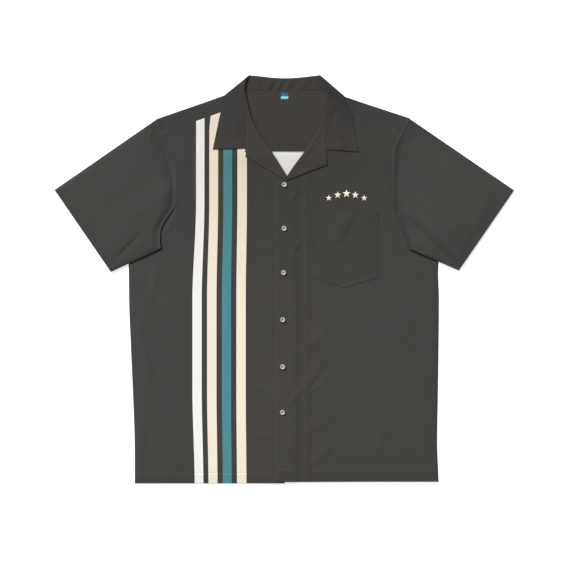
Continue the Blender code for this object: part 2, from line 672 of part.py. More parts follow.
def button_mesh(material):
    """A turned disc with a raised rim and four thread holes."""
    shape = bmesh.new()
    profile = [shape.verts.new((radius * MM, 0.0, height * MM)) for radius, height in BUTTON_PROFILE]
    for a, b in zip(profile, profile[1:]):
        shape.edges.new((a, b))
    mesh = bpy.data.meshes.new("button_profile")
    shape.to_mesh(mesh)
    shape.free()
    disc = bpy.data.objects.new("button_blank", mesh)
    bpy.context.scene.collection.objects.link(disc)
    turn = disc.modifiers.new("turn", "SCREW")
    turn.steps = BUTTON_SIDES
    turn.render_steps = BUTTON_SIDES
    turn.use_merge_vertices = True
    turn.merge_threshold = 0.00005
    turn.use_normal_calculate = True

    holes = bmesh.new()
    for quarter in range(4):
        angle = math.radians(45.0 + 90.0 * quarter)
        made = bmesh.ops.create_cone(
            holes,
            cap_ends=True,
            segments=6,
            radius1=BUTTON_HOLE_RADIUS * MM,
            radius2=BUTTON_HOLE_RADIUS * MM,
            depth=8.0 * MM,
        )
        centre = Vector((math.cos(angle), math.sin(angle), 0.0)) * BUTTON_HOLE_OFFSET * MM * math.sqrt(2.0)
        bmesh.ops.translate(holes, vec=centre, verts=made["verts"])
    hole_mesh = bpy.data.meshes.new("button_holes")
    holes.to_mesh(hole_mesh)
    holes.free()
    cutter = bpy.data.objects.new("button_cutter", hole_mesh)
    bpy.context.scene.collection.objects.link(cutter)
    cut = disc.modifiers.new("holes", "BOOLEAN")
    cut.operation = "DIFFERENCE"
    cut.object = cutter
    evaluated = disc.evaluated_get(bpy.context.evaluated_depsgraph_get())
    button = bpy.data.meshes.new_from_object(evaluated)
    button.name = "button"
    button.materials.clear()
    button.materials.append(material)
    button.shade_smooth()
    button.set_sharp_from_angle(angle=math.radians(35.0))
    bpy.data.objects.remove(disc)
    bpy.data.objects.remove(cutter)
    return button


def make_buttons(material, collection):
    mesh = button_mesh(material)
    reach = BUTTON_PROFILE[3][0]
    for number, place in enumerate(BUTTONS, start=1):
        around = [(place.x + dx, place.y + dy) for dx in (-reach, 0.0, reach) for dy in (-reach, 0.0, reach)]
        seat = max(over_front_low(x, y) for x, y in around) + LAYER
        button = bpy.data.objects.new(f"button_{number}", mesh)
        button.location = Vector((place.x, place.y, seat)) * MM
        collection.objects.link(button)


def main():
    for old in list(bpy.data.objects):
        bpy.data.objects.remove(old, do_unlink=True)
    collection = bpy.data.collections.new(NAME)
    bpy.context.scene.collection.children.link(collection)
    charcoal = plain_material("charcoal_cloth", (0.060, 0.058, 0.054), 0.75)
    teal = plain_material("teal_label", (0.015, 0.21, 0.27), 0.7)
    grey = plain_material("grey_plastic", (0.45, 0.44, 0.42), 0.3)
    make_back(charcoal, collection)
    make_yokes(charcoal, collection)
    make_fronts(charcoal, collection)
    make_collar(charcoal, collection)
    make_lapels(charcoal, collection)
    for sleeve in (SLEEVE_RIGHT, SLEEVE_LEFT):
        make_sleeve(sleeve, charcoal, collection)
    make_pocket(charcoal, collection)
    make_label(teal, collection)
    make_buttons(grey, collection)


main()
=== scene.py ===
"""Looks of the flat-laid bowling shirt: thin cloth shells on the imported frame, their folds, seams,
stitching, buttons, print and weave, with a pale floor, soft light and a camera straight above.

Tables are in millimetres in the frame's own axes: +X to the wearer's left, +Y to the collar.
"""

import math
from collections import namedtuple

import bmesh
import bpy
import numpy as np
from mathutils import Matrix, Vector


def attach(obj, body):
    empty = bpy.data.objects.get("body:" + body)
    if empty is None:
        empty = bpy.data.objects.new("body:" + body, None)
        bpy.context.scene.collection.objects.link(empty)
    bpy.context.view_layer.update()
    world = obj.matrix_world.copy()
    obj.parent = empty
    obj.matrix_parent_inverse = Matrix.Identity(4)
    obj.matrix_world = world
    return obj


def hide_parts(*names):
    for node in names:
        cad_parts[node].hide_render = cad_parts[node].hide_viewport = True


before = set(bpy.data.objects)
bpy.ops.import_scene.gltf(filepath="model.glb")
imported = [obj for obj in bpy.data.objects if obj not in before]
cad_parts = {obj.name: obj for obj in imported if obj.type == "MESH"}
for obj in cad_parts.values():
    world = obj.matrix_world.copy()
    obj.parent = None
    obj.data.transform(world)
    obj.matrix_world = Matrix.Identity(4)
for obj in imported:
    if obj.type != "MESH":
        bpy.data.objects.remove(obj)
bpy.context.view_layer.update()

MM = 0.001

# ---- Walls, gaps and layers (mm), as in the solids ----
WALL = 1.0
COLLAR_WALL = 1.2
SEAM_GAP = 0.3
LAYER = WALL + SEAM_GAP

# ---- Walls of the thinner sheets that are shown, and the steps of their grids (mm) ----
BODY_WALL = 0.8
THIN_WALL = 0.6
SHOWN_COLLAR_WALL = 0.9
BACK_INSET = 1.3
SIDE_EASE = 0.7
CELL = 3.4
SLEEVE_CELL = 2.0
EDGE_STEPS = (0.9, 2.0, 3.4)
HEM_STEPS = (-3.0, -1.6, -0.7, 0.0, 0.7, 1.6, 3.0)

# ---- Body (mm) ----
BACK_SEAM_Y = 242.3
SHOULDER_DROP = 29.8
PLACKET_EDGE_X = -15.4
FACING_LEFT_X = -52.0
FACING_RIGHT_X = 41.0
FACING_RISE = 0.85
# How far the fronts stand off the back: in the middle of each, and up to its sides.
PUFF = 0.8
LOFT = 0.9
# Each side's hem edge and row of stitches; -1 is the wearer's right and 1 the left.
HEMS = {-1: {"edge": -388.6, "stitch": -368.5}, 1: {"edge": -385.6, "stitch": -358.6}}

# ---- Neck (mm) ----
NECK_SEAM_Y = 356.7
NECK_WING_X = 89.0
INNER_YOKE_X = 84.0
# Heights of the inner yoke's rows of stitches, and of the extra grid rows beside them.
INNER_YOKE_STITCHES = (248.4, 252.2, 351.0)
INNER_YOKE_LINES = (243.2, 244.2, 247.4, 248.4, 249.4, 251.2, 252.2, 253.2, 350.0, 351.0, 352.0, 355.8)
FALL_EDGE_Y = 325.0
FALL_EDGE_RISE = 24.0
KINK_X = 115.0
FALL_LIFT = COLLAR_WALL + 2.0 * SEAM_GAP
INNER_LIFT = 1.7
TURN_OVER_LIFT = WALL + 0.15
STAND_LEVEL = 3.5

# ---- Pocket and label (mm) ----
POCKET = {
    "left": 52.3, "right": 178.6, "top": 129.3, "side_bottom": 2.9, "point": -17.0,
    "stitch": 102.6, "belly": 0.64,
}
LABEL = {"left": -7.6, "right": 8.4, "top": 354.8, "bottom": 339.0}

# ---- Kinds of record, and short ways to write them ----
Point = namedtuple("Point", "x y")
Row = namedtuple("Row", "left right")
Crease = namedtuple("Crease", "path half_width height trough")
Fold = namedtuple("Fold", "path left right height")
Station = namedtuple("Station", "roll neck edge turn")
Shoulder = namedtuple("Shoulder", "point kink seam_at_armhole")
Sleeve = namedtuple(
    "Sleeve", "name side armhole cuff_top cuff_bottom corner creases seam level_to hem_width"
)
Stripe = namedtuple("Stripe", "left right colour")


def points_of(*pairs):
    """Plan points from pairs of x and y."""
    return [Point(x, y) for x, y in pairs]


def rows_of(*ends):
    """Rows of a panel, each from the x and y of its left end and of its right end."""
    return [Row(Point(*end[:2]), Point(*end[2:])) for end in ends]


def crease(half_width, height, trough, *path):
    """An even crease along a path, with a trough beside it that is this share of its height."""
    return Crease(points_of(*path), half_width, height, trough)


def fold(left, right, height, *path):
    """A fold along a path, which reaches left and right of it by different widths."""
    return Fold(points_of(*path), left, right, height)


def station(turn, roll, edge, neck=None):
    """A section of the collar: its turn in degrees, its roll, its edge and, at the stand, its neck seam."""
    return Station(Point(*roll), neck and Point(*neck), Point(*edge), turn)


# ---- Outlines (mm) ----
BUTTONS = points_of(
    (-0.4, 179.2), (-0.6, 96.0), (-1.7, 12.1), (-3.2, -77.4), (-3.6, -166.7), (-3.8, -253.2),
)

SHOULDERS = {
    -1: Shoulder(Point(-242.3, 305.0), Point(-115.0, 349.1), Point(-232.1, 278.3)),
    1: Shoulder(Point(235.6, 307.0), Point(115.9, 346.5), Point(222.3, 281.8)),
}

ARMHOLE_RIGHT = points_of(
    (-242.3, 305.0), (-232.1, 278.3), (-219.5, 247.1), (-210.0, 218.6), (-205.4, 195.8),
    (-206.5, 159.7), (-210.0, 136.9), (-221.7, 117.9), (-233.5, 97.0), (-235.8, 82.7), (-234.7, 58.0),
)
ARMHOLE_LEFT = points_of(
    (235.6, 307.0), (222.3, 281.8), (208.6, 256.6), (204.4, 218.6), (202.7, 180.6), (206.2, 148.3),
    (208.6, 127.0), (214.5, 108.0), (224.0, 93.0), (234.3, 76.1), (235.6, 58.0),
)

ARMHOLES = {-1: ARMHOLE_RIGHT, 1: ARMHOLE_LEFT}
CUFF_BOTTOMS = {-1: Point(-329.7, 14.3), 1: Point(331.6, 16.2)}

FRONT_RIGHT_ROWS = rows_of(
    (-284.2, -388.6, 0.5, -388.6), (-284.6, -313.4, 5.0, -313.4), (-287.7, -222.2, 8.0, -222.2),
    (-291.7, -131.0, 9.5, -131.0), (-295.3, -39.8, 9.5, -39.8), (-295.8, 9.6, 9.5, 30.0),
    (-297.0, 78.0, 9.5, 110.0), (-250.0, 109.0, 9.5, 150.0), (-210.0, 136.9, 5.0, 180.0),
    (-206.5, 159.7, 1.0, 193.5), (-205.4, 195.8, -24.8, 241.4), (-210.0, 218.6, -54.8, 287.2),
    (-219.5, 247.1, -70.5, 312.0), (-232.1, 278.3, -NECK_WING_X, 327.3),
)
FRONT_LEFT_ROWS = rows_of(
    (PLACKET_EDGE_X, -385.6, 292.4, -385.6), (PLACKET_EDGE_X, -305.8, 289.8, -305.8),
    (PLACKET_EDGE_X, -222.2, 291.1, -222.2), (PLACKET_EDGE_X, -131.0, 292.4, -131.0),
    (PLACKET_EDGE_X, -39.8, 293.2, -39.8), (PLACKET_EDGE_X, 30.0, 291.7, 9.6),
    (PLACKET_EDGE_X, 110.0, 294.0, 78.0), (PLACKET_EDGE_X, 150.0, 250.0, 103.0),
    (PLACKET_EDGE_X, 182.0, 208.6, 127.0), (2.0, 187.5, 206.2, 148.3), (7.0, 198.0, 202.7, 180.6),
    (38.6, 240.8, 204.4, 218.6), (61.0, 275.0, 208.6, 256.6), (74.5, 306.0, 214.6, 268.0),
    (NECK_WING_X, 325.3, 222.3, 281.8),
)
BACK_ROWS = rows_of(
    (-284.2, -388.0, 292.4, -385.2), (-287.7, -222.2, 291.1, -222.2), (-295.3, -39.8, 293.2, -39.8),
    (-297.0, 78.0, 294.0, 78.0), (-250.0, 109.0, 250.0, 103.0), (-210.0, 136.9, 208.6, 127.0),
    (-206.5, 159.7, 206.2, 148.3), (-205.4, 195.8, 202.7, 180.6), (-210.0, 218.6, 204.4, 218.6),
    (-217.8, 242.0, 207.0, 242.0),
)

# ---- Creases (mm) ----
CREASE_DEPTH = 0.95
# Creases and folds of the cloth: widths and rises first, then the path; a rise below 0 is a hollow.
BODY_CREASES = [
    crease(17, 0.9, 0.0, (-198, 268), (-192, 236), (-190, 200)),
    crease(13, 1.3, 0.0, (200, 190), (204, 160), (209, 128), (222, 96), (238, 66)),
    crease(8, 0.7, 0.0, (-200, 142), (-214, 110), (-226, 88), (-226, 52)),
    fold(20, 7, 0.85, (26, -232), (40, -209), (60, -182), (84, -136)),
    fold(12, 7, 0.6, (24, -234), (38, -223), (60, -208), (92, -180)),
    fold(18, 8, 0.65, (26, -300), (43, -291), (66, -281), (104, -256)),
    fold(18, 8, 0.6, (44, -366), (58, -351), (76, -334), (102, -300)),
    fold(20, 8, 0.5, (28, -154), (42, -138), (60, -122), (92, -84)),
    crease(10, 0.45, 0.4, (50, -66), (72, -72), (98, -88)),
    crease(16, 0.55, 0.3, (163, -352), (180, -310), (200, -260)),
    crease(12, 0.8, 0.4, (247, -282), (262, -312), (278, -346)),
    crease(13, 0.8, 0.4, (-238, 40), (-248, -6), (-260, -62)),
    crease(12, 0.8, 0.4, (-284, -50), (-272, -112), (-262, -168), (-266, -250)),
    crease(12, 0.6, 0.3, (-262, -240), (-271, -300), (-273, -360)),
    crease(8, 0.8, 0.4, (274, 0), (283, -60), (284, -150)),
    crease(6, 0.5, 0.4, (27, 172), (18, 160), (8, 144)),
    crease(5, 0.4, 0.4, (18, 102), (12, 92), (4, 80)),
    crease(7, 0.6, 0.4, (36, 78), (24, 64), (9, 46)),
    crease(7, 0.6, 0.4, (37, -204), (24, -220), (6, -240)),
    crease(6, 0.6, 0.4, (-53, 69), (-36, 65), (-17, 56)),
    crease(7, 0.7, 0.4, (-51, 41), (-36, 32), (-17, 16)),
    crease(7, 0.7, 0.4, (-57, -38), (-38, -50), (-17, -69)),
    crease(5, 0.5, 0.3, (-34, -88), (-26, -96), (-16, -105)),
    crease(8, 0.7, 0.4, (-70, -200), (-46, -208), (-21, -225)),
    crease(7, 0.4, 0.3, (-58, -300), (-40, -296), (-19, -300)),
    crease(14, 0.4, 0.2, (-180, 250), (-168, 215), (-164, 170)),
    crease(12, 0.5, 0.3, (176, 262), (186, 228), (184, 180)),
    crease(12, 0.4, 0.2, (120, 268), (104, 250), (96, 226)),
    crease(20, 0.5, 0.2, (228, -40), (222, -120), (232, -200)),
    crease(24, 0.4, 0.2, (140, -70), (132, -150), (140, -230)),
    crease(22, 0.35, 0.2, (-205, -100), (-212, -190), (-204, -290)),
    crease(20, 0.3, 0.2, (-110, 90), (-106, -10), (-114, -120)),
    crease(12, 0.7, 0.3, (204, 40), (232, 30), (270, 4)),
    crease(10, 0.5, 0.3, (198, 86), (206, 58), (208, 20)),
]

POCKET_FOLD = fold(26, 13, 1.3, (88, 46), (100, 76), (116, 102), (140, 146))
COLLAR_CREASES = [
    crease(9, -1.0, 0.0, (95, 326), (91, 306), (93, 284)),
    crease(7, -0.7, 0.0, (116, 341), (125, 326), (127, 308)),
    crease(10, 0.6, 0.3, (104, 286), (112, 262)),
    crease(12, 0.5, 0.3, (-86, 300), (-96, 268)),
    crease(7, -0.4, 0.0, (-112, 262), (-92, 258)),
]
BACK_CREASES = [
    crease(20, 0.40, 0.0, (-180, 170), (-150, 120), (-136, 50)),
    crease(14, 0.35, 0.0, (-90, 200), (-96, 130), (-80, 70)),
    crease(18, 0.42, 0.0, (60, 205), (70, 120), (58, 20)),
    crease(16, 0.36, 0.0, (170, 180), (150, 110), (160, 40)),
    crease(22, 0.38, 0.0, (-220, -40), (-190, -120), (-200, -220)),
    crease(24, 0.42, 0.0, (-60, -60), (-30, -150), (-50, -260)),
    crease(19, 0.36, 0.0, (90, -90), (130, -180), (118, -300)),
    crease(15, 0.34, 0.0, (210, -20), (196, -110), (220, -210)),
    crease(16, 0.30, 0.0, (-130, -300), (-60, -330), (30, -322)),
]

# Shares of the way up the yoke, over its shoulder fold and down to the front seam.
YOKE_BACK_STEPS = np.concatenate([np.linspace(0.0, 0.6, 12)[:-1], np.linspace(0.6, 1.0, 14)])
YOKE_FOLD_ANGLES = np.linspace(-90.0, 90.0, 11)[1:-1]
YOKE_FRONT_STEPS = np.concatenate([np.linspace(0.0, 0.9, 9), [0.94, 0.97, 1.0]])
YOKE_LEVEL_Y = 250.0
FOLD_SPREAD = 2.0
YOKE_CREASES = [
    crease(6, 0.6, 0.0, (-224, 298), (-217, 286), (-219, 268)),
    crease(6, -0.5, 0.0, (-209, 292), (-206, 276), (-210, 262)),
    crease(7, 0.5, 0.0, (222, 302), (214, 286), (212, 268)),
    crease(6, -0.6, 0.0, (208, 292), (202, 276)),
]

# ---- Collar and lapels (mm) ----
# Sections of the collar from the tip on the wearer's right, round the back of the neck, to the other tip.
STATIONS = [
    station(90, (-72.4, 248.0), (-136.4, 246.4)),
    station(90, (-72.3, 275), (-131.0, 273)),
    station(90, (-71.8, 313), (-122.6, 312)),
    station(90, (-68.4, 322.5), (-120.4, 321)),
    station(90, (-72.3, 345), (-117.4, 334), (-86.0, 342)),
    station(90, (-75.2, 363), (-115.4, 342), (-85.5, 350)),
    station(90, (-71.4, 381.2), (-113.4, 346.2), (-84.8, 355.5)),
    station(45, (-68.2, 386.0), (-114.4, 348.0), (-84.3, 357.4)),
    station(0, (-66.5, 387.4), (-114.7, 348.7), (-84.0, 358.0)),
    station(-45, (-65.5, 387.1), (-114.0, 347.3), (-83.5, 357.7)),
    station(-90, (-62.3, 386.9), (-111.0, 343.5), (-81.0, 357.15)),
    station(-90, (-45.0, 385.2), (-85.0, 335.0), (-60.0, 357.15)),
    station(-90, (-22.0, 382.7), (-42.0, 328.0), (-30.0, 357.15)),
    station(-90, (1.0, 381.6), (0.0, 325.5), (0.5, 357.15)),
    station(-90, (24.0, 382.6), (42.0, 328.0), (31.0, 357.15)),
    station(-90, (46.5, 385.0), (85.0, 335.0), (61.0, 357.15)),
    station(-90, (63.2, 386.9), (111.5, 341.5), (81.5, 357.15)),
    station(-45, (66.4, 387.3), (114.8, 344.9), (84.0, 357.2)),
    station(0, (67.4, 387.4), (115.6, 346.1), (84.6, 357.4)),
    station(45, (68.2, 386.3), (115.4, 345.4), (85.0, 356.8)),
    station(90, (70.4, 381.2), (114.6, 343.4), (85.8, 354.8)),
    station(90, (79.0, 362.5), (117.8, 337.5), (87.0, 349.0)),
    station(90, (79.8, 345), (121.5, 330.0), (87.6, 341)),
    station(90, (79.6, 322), (127.0, 318)),
    station(90, (80.6, 298), (131.2, 295)),
    station(90, (80.9, 272), (135.8, 268.5)),
    station(90, (80.4, 246.0), (141.4, 241.8)),
]

# The upright waves of the collar's stand: place along it, reach and height.
STAND_WAVES = [
    (-32.0, 9.0, 1.4), (-23.0, 8.0, -1.2), (-14.0, 7.0, 0.7), (-6.0, 7.0, -1.1), (3.0, 8.0, 0.9),
    (16.0, 9.0, -0.8), (32.0, 10.0, 0.8), (47.0, 9.0, -0.5), (-54.0, 9.0, 0.7),
]

LAPEL_CREASES = [
    crease(5, 0.4, 0.5, (75, 292), (76, 258), (75, 226)),
    crease(9, -0.5, 0.0, (38, 226), (54, 238), (62, 252)),
    crease(9, 0.4, 0.3, (-44, 222), (-52, 240)),
]
LAPEL_RIGHT_ROWS = rows_of(
    (2.6, 187.4, 4.7, 196.0), (-36.0, 210.3, -9.2, 218.3), (-74.4, 232.2, -23.8, 241.0),
    (-72.3, 249.0, -31.5, 253.5), (-72.3, 280.0, -50.0, 281.5), (-72.0, 305.0, -62.4, 305.5),
    (-70.6, 317.0, -66.2, 317.2), (-69.2, 321.0, -67.6, 321.1),
)
LAPEL_LEFT_ROWS = rows_of(
    (5.1, 196.2, 4.0, 187.2), (15.2, 211.5, 40.0, 201.2), (30.0, 231.5, 81.6, 217.0),
    (40.3, 245.5, 79.9, 245.8), (58.5, 272.5, 80.3, 272.4), (70.7, 300.0, 80.0, 300.0),
    (77.2, 321.0, 79.0, 321.0),
)

# ---- Sleeves (mm) ----
# Height across the sleeves beside the armhole seam: distance from the seam and rise.
SEAM_RIGHT = [(0.0, 0.9), (1.5, 0.8), (6.0, -1.2), (10.0, -2.1), (16.0, -1.8), (30.0, -0.5), (46.0, 0.0)]
SEAM_LEFT = [(0.0, 0.2), (2.0, 0.7), (4.0, 0.6), (16.0, -2.4), (30.0, -2.8), (60.0, -2.0), (110.0, 0.0)]

SLEEVE_RIGHT = Sleeve(
    "sleeve_right",
    -1,
    ARMHOLE_RIGHT,
    Point(-437.7, 169.6),
    Point(CUFF_BOTTOMS[-1].x - 0.7, CUFF_BOTTOMS[-1].y - 0.9),
    (Point(-297.0, 80.0), Point(-210.0, 137.0)),
    [
        fold(7, 18, -1.2, (-334, 26), (-313, 47), (-284, 76), (-262, 100)),
        crease(22, -0.9, 0.0, (-300, 92), (-272, 110), (-244, 112)),
        crease(6, -0.9, 0.0, (-244.7, 296), (-246.5, 264)),
        crease(7, 0.7, 0.0, (-253, 290), (-257, 262)),
        fold(
            7, 22, -1.9, (-243, 300), (-232, 270), (-220.5, 244), (-213, 207), (-211.5, 176), (-214, 150)
        ),
        crease(22, 0.5, 0.3, (-280, 240), (-300, 190), (-312, 140)),
        crease(18, 0.4, 0.3, (-380, 150), (-366, 118), (-350, 96)),
        crease(14, 0.5, 0.3, (-262, 150), (-268, 120), (-262, 92)),
    ],
    SEAM_RIGHT,
    0.60,
    18.0,
)
SLEEVE_LEFT = Sleeve(
    "sleeve_left",
    1,
    ARMHOLE_LEFT,
    Point(437.0, 169.2),
    CUFF_BOTTOMS[1],
    (Point(294.0, 80.0), Point(208.6, 127.0)),
    [
        fold(19, 10, -5.4, (200, 139), (236, 105), (276, 68), (313, 33), (370, -22)),
        fold(15, 15, 1.2, (222, 152), (258, 114), (296, 78), (352, 24)),
        fold(12, 12, 0.7, (208, 108), (238, 82), (270, 53), (318, 8)),
        crease(5, -0.8, 0.0, (218, 134), (222, 114), (230, 96)),
        crease(6, -0.9, 0.0, (236, 300), (231, 283), (229, 260)),
        crease(6, -0.7, 0.0, (245, 294), (243, 262)),
        crease(5, -0.7, 0.0, (222, 254), (218, 220), (213, 184)),
        crease(22, 0.4, 0.3, (300, 250), (320, 200), (330, 150)),
        crease(14, 0.5, 0.3, (250, 180), (262, 150), (288, 118)),
        crease(16, 0.4, 0.3, (384, 150), (370, 112), (362, 80)),
    ],
    SEAM_LEFT,
    1.05,
    18.0,
)
# How high the sleeves stand open, and how they ramp up onto the body's underarm corners.
SLEEVE_HOLLOW = 3.4
CORNER_RAMP = 64.0
CORNER_MARGIN = 5.0


# ---- Colours (linear) ----
CHARCOAL = (0.0459, 0.0443, 0.0408)
CHARCOAL_INNER = (0.0480, 0.0452, 0.0435)
# The collar's cloth: the body's charcoal painted darker, as painted shade.
CHARCOAL_COLLAR_SHADED = (0.0438, 0.0410, 0.0383)
# The lapels' cloth: the body's charcoal painted lighter, as painted light.
CHARCOAL_LAPEL_LIT = (0.0490, 0.0458, 0.0430)
WHITE_PRINT = (0.880, 0.868, 0.845)
CREAM_PRINT = (0.872, 0.792, 0.655)
TEAL_PRINT = (0.064, 0.249, 0.292)
# The cloth's unprinted white back, set darker than the print's white: painted shade.
UNPRINTED_SHADED = (0.69, 0.684, 0.672)
THREAD_DARK = (0.039, 0.038, 0.036)
LABEL_BLUE = (0.010, 0.150, 0.225)
RESIN_DARK = (0.42, 0.41, 0.39)
RESIN_LIGHT = (0.62, 0.61, 0.58)
LABEL_BAND = Stripe(343.0, 347.0, (0.33, 0.64, 0.78))
STRIPES = [
    Stripe(-168.0, -152.2, WHITE_PRINT),
    Stripe(-142.9, -126.2, CREAM_PRINT),
    Stripe(-116.3, -99.6, TEAL_PRINT),
    Stripe(-89.5, -71.5, CREAM_PRINT),
]
# How the stripes bow outward below start and partly back below end, the outer ones most (mm).
STRIPE_BOW = {
    "start": 150.0, "run": 190.0, "end": -211.0, "inner": 2.0, "outer": 4.8, "from_x": -89.0, "across": 84.0
}
# How the stripes draw inward beside the collar (mm).
STRIPE_DRAW = {"start": 278.0, "end": 322.0, "shift": 5.0, "outer_x": -152.0, "inner_x": -132.0}

# ---- Painted shade on the cloth, darker round the neck and at the collar's turn, and where its dye looks warmer, in m: a centre, then the reach of the change ----
NECK_SHADE = {"centre": (0.0, 0.30), "reach": (0.02, 0.42)}
TURN_SHADE = {"centre": (0.100, 0.355), "reach": (0.005, 0.055)}
WARM_MIDDLE_X = 0.01
WARM_TINT = (1.05, 1.005, 0.96)

# ---- Threads: how many waves of unevenness to a metre, and the height of the weave in mm ----
SLUB_SCALE = 900.0
BROAD_SCALE = 28.0
TWIST_SCALE = 2600.0
THREAD_RELIEF = 0.08


# ---- Small maths, on numpy arrays ----


def smooth(value):
    """Eases from 0 to 1."""
    value = np.clip(value, 0.0, 1.0)
    return value * value * (3.0 - 2.0 * value)


def mix(a, b, t):
    """From a to b by the share t."""
    return a + (b - a) * t


def mix_points(a, b, t):
    return Point(mix(a.x, b.x, t), mix(a.y, b.y, t))


def distance(a, b):
    return math.hypot(b.x - a.x, b.y - a.y)


def swell(offset, reach):
    """A soft ridge across: 1 in the middle and 0 at reach to either side."""
    return smooth(1.0 - np.abs(offset) / reach)


def level_unit(vectors):
    """Vectors laid level and brought to unit length."""
    flat = vectors * (1.0, 1.0, 0.0)
    return flat / np.maximum(np.linalg.norm(flat, axis=1), 1e-6)[:, None]


def moved(line, towards, inset, fall):
    """A line of points moved by inset along towards, and down by fall."""
    result = line + towards * np.asarray(inset)[..., None]
    result[:, 2] = line[:, 2] - fall
    return result


def path_measures(x, y, path):
    """For each point: its signed distance to a path, how far along it lies, and the path's length."""
    best = np.full(x.shape, 1e9)
    signed = np.zeros(x.shape)
    along = np.zeros(x.shape)
    run = 0.0
    for a, b in zip(path, path[1:]):
        dx, dy = b.x - a.x, b.y - a.y
        length = math.hypot(dx, dy)
        t = np.clip(((x - a.x) * dx + (y - a.y) * dy) / length**2, 0.0, 1.0)
        ex, ey = x - (a.x + t * dx), y - (a.y + t * dy)
        away = np.hypot(ex, ey)
        nearer = away < best
        best = np.where(nearer, away, best)
        signed = np.where(nearer, away * np.sign(dx * ey - dy * ex + 1e-9), signed)
        along = np.where(nearer, run + t * length, along)
        run += length
    return signed, along, run


def crease_relief(x, y, creases):
    """Soft ridges and hollows, fading out at both ends: even creases with a trough, or uneven folds."""
    relief = np.zeros(x.shape)
    for line in creases:
        folded = isinstance(line, Fold)
        reach = max(line.left, line.right) if folded else line.half_width * 3.0
        xs = [p.x for p in line.path]
        ys = [p.y for p in line.path]
        near = (x > min(xs) - reach) & (x < max(xs) + reach)
        near &= (y > min(ys) - reach) & (y < max(ys) + reach)
        if not near.any():
            continue
        offset, along, length = path_measures(x[near], y[near], line.path)
        ends = smooth(along / (0.4 * length)) * smooth((length - along) / (0.4 * length))
        if folded:
            share = offset / np.where(offset > 0.0, line.left, line.right)
            sharp = np.clip(1.0 - np.abs(share), 0.0, 1.0) ** 1.8
            shape = swell(share, 1.0) if line.height > 0.0 else sharp
        else:
            ridge = swell(offset, line.half_width)
            trough = swell(offset - 1.5 * line.half_width, 1.4 * line.half_width)
            shape = ridge - line.trough * trough
        relief[near] += line.height * ends * shape
    return relief


def hermite(keys, steps, steady=False):
    """Smooth curve through the points of keys, steps to each stretch; a steady one never overshoots them."""
    values = np.array(keys, float)
    runs = np.maximum(np.linalg.norm(np.diff(values, axis=0), axis=1), 1e-6)
    slopes = np.diff(values, axis=0) / runs[:, None]
    tangents = np.empty_like(values)
    tangents[0], tangents[-1] = slopes[0], slopes[-1]
    weight = (runs[1:] / (runs[1:] + runs[:-1]))[:, None]
    tangents[1:-1] = slopes[:-1] * weight + slopes[1:] * (1.0 - weight)
    if steady:
        behind, ahead = slopes[:-1], slopes[1:]
        alike = behind * ahead > 0.0
        total = np.where(alike, behind + ahead, 1.0)
        tangents[1:-1] = np.where(alike, 2.0 * behind * ahead / total, 0.0)
    out = []
    for i, run in enumerate(runs):
        for t in np.arange(steps[i]) / steps[i]:
            a = 2 * t**3 - 3 * t**2 + 1
            b = t**3 - 2 * t**2 + t
            c = -2 * t**3 + 3 * t**2
            d = t**3 - t**2
            placed = a * values[i] + c * values[i + 1]
            out.append(placed + run * (b * tangents[i] + d * tangents[i + 1]))
    out.append(values[-1])
    return np.array(out)


# ---- Heights, as in the solids, with finer folds on the upper layers ----


def fall_edge_y(x):
    """Where the collar's fall ends behind the neck."""
    return FALL_EDGE_Y + FALL_EDGE_RISE * (np.abs(x) / KINK_X) ** 2


def back_low(x, y):
    """The underside of the yoke on the surface, lifted where it covers the collar's fall."""
    over_fall = smooth((y - fall_edge_y(x) + 82.0) / 74.0) * smooth((142.0 - np.abs(x)) / 20.0)
    return FALL_LIFT * over_fall


def slack(x, y):
    """Broad, slow unevenness of cloth that lies on cloth."""
    waves = 0.5 * np.sin(x / 31.0 + y / 74.0) + 0.35 * np.sin(y / 43.0 - x / 57.0 + 1.3)
    waves += 0.25 * np.sin(x / 19.0 - y / 38.0 + 0.6)
    return 0.15 * waves


def under_sleeve(x, y):
    """1 under the sleeves, where a front lies pressed flat, falling to 0 just outside them."""
    under = np.zeros(x.shape)
    for side, armhole in ARMHOLES.items():
        near = (side * x > 170.0) & (y < 175.0) & (y > -40.0)
        if not near.any():
            continue
        outward = side * path_measures(x[near], y[near], armhole[5:])[0]
        above = side * path_measures(x[near], y[near], [armhole[-1], CUFF_BOTTOMS[side]])[0]
        covered = smooth((outward + 1.0) / 7.0) * smooth((above + 8.0) / 8.0)
        under[near] = covered * smooth((172.0 - y[near]) / 34.0)
    return under


def front_low(x, y):
    """The underside of the fronts: over the back, the inner yoke, the facing, and their own creases."""
    over_inner = smooth((y - 208.0) / 32.0) * smooth((132.0 - np.abs(x)) / 40.0)
    inside = smooth((282.0 - np.abs(x)) / 70.0) * smooth((y + 385.0) / 70.0)
    free = 1.0 - under_sleeve(x, y)
    puff = PUFF * inside * smooth((285.0 - y) / 70.0)
    loft = smooth((296.0 - np.abs(x)) / 24.0) * smooth((y + 392.0) / 24.0) * smooth((300.0 - y) / 60.0)
    puff = (puff + LOFT * loft) * free
    below_lapels = smooth((225.0 - y) / 40.0)
    facing = smooth((x - FACING_LEFT_X + 4.0) / 34.0) * smooth((FACING_RIGHT_X + 11.0 - x) / 10.0)
    edge_press = -0.3 * swell(x - FACING_LEFT_X + 5.0, 4.0)
    base = LAYER + back_low(x, y) + INNER_LIFT * over_inner + puff
    base = base + (FACING_RISE * facing + edge_press) * below_lapels
    return base + CREASE_DEPTH * crease_relief(x, y, BODY_CREASES) + slack(x, y) * inside * free


def over_front_low(x, y):
    """The left front's underside: the same, and one layer up where it overlaps the right one."""
    lap = smooth((34.0 - x) / 18.0) * smooth((226.0 - y) / 26.0)
    return front_low(x, y) + LAYER * lap


# ---- Making pieces ----


def linked(name, data):
    """A new object in the scene."""
    made = bpy.data.objects.new(name, data)
    bpy.context.scene.collection.objects.link(made)
    return made


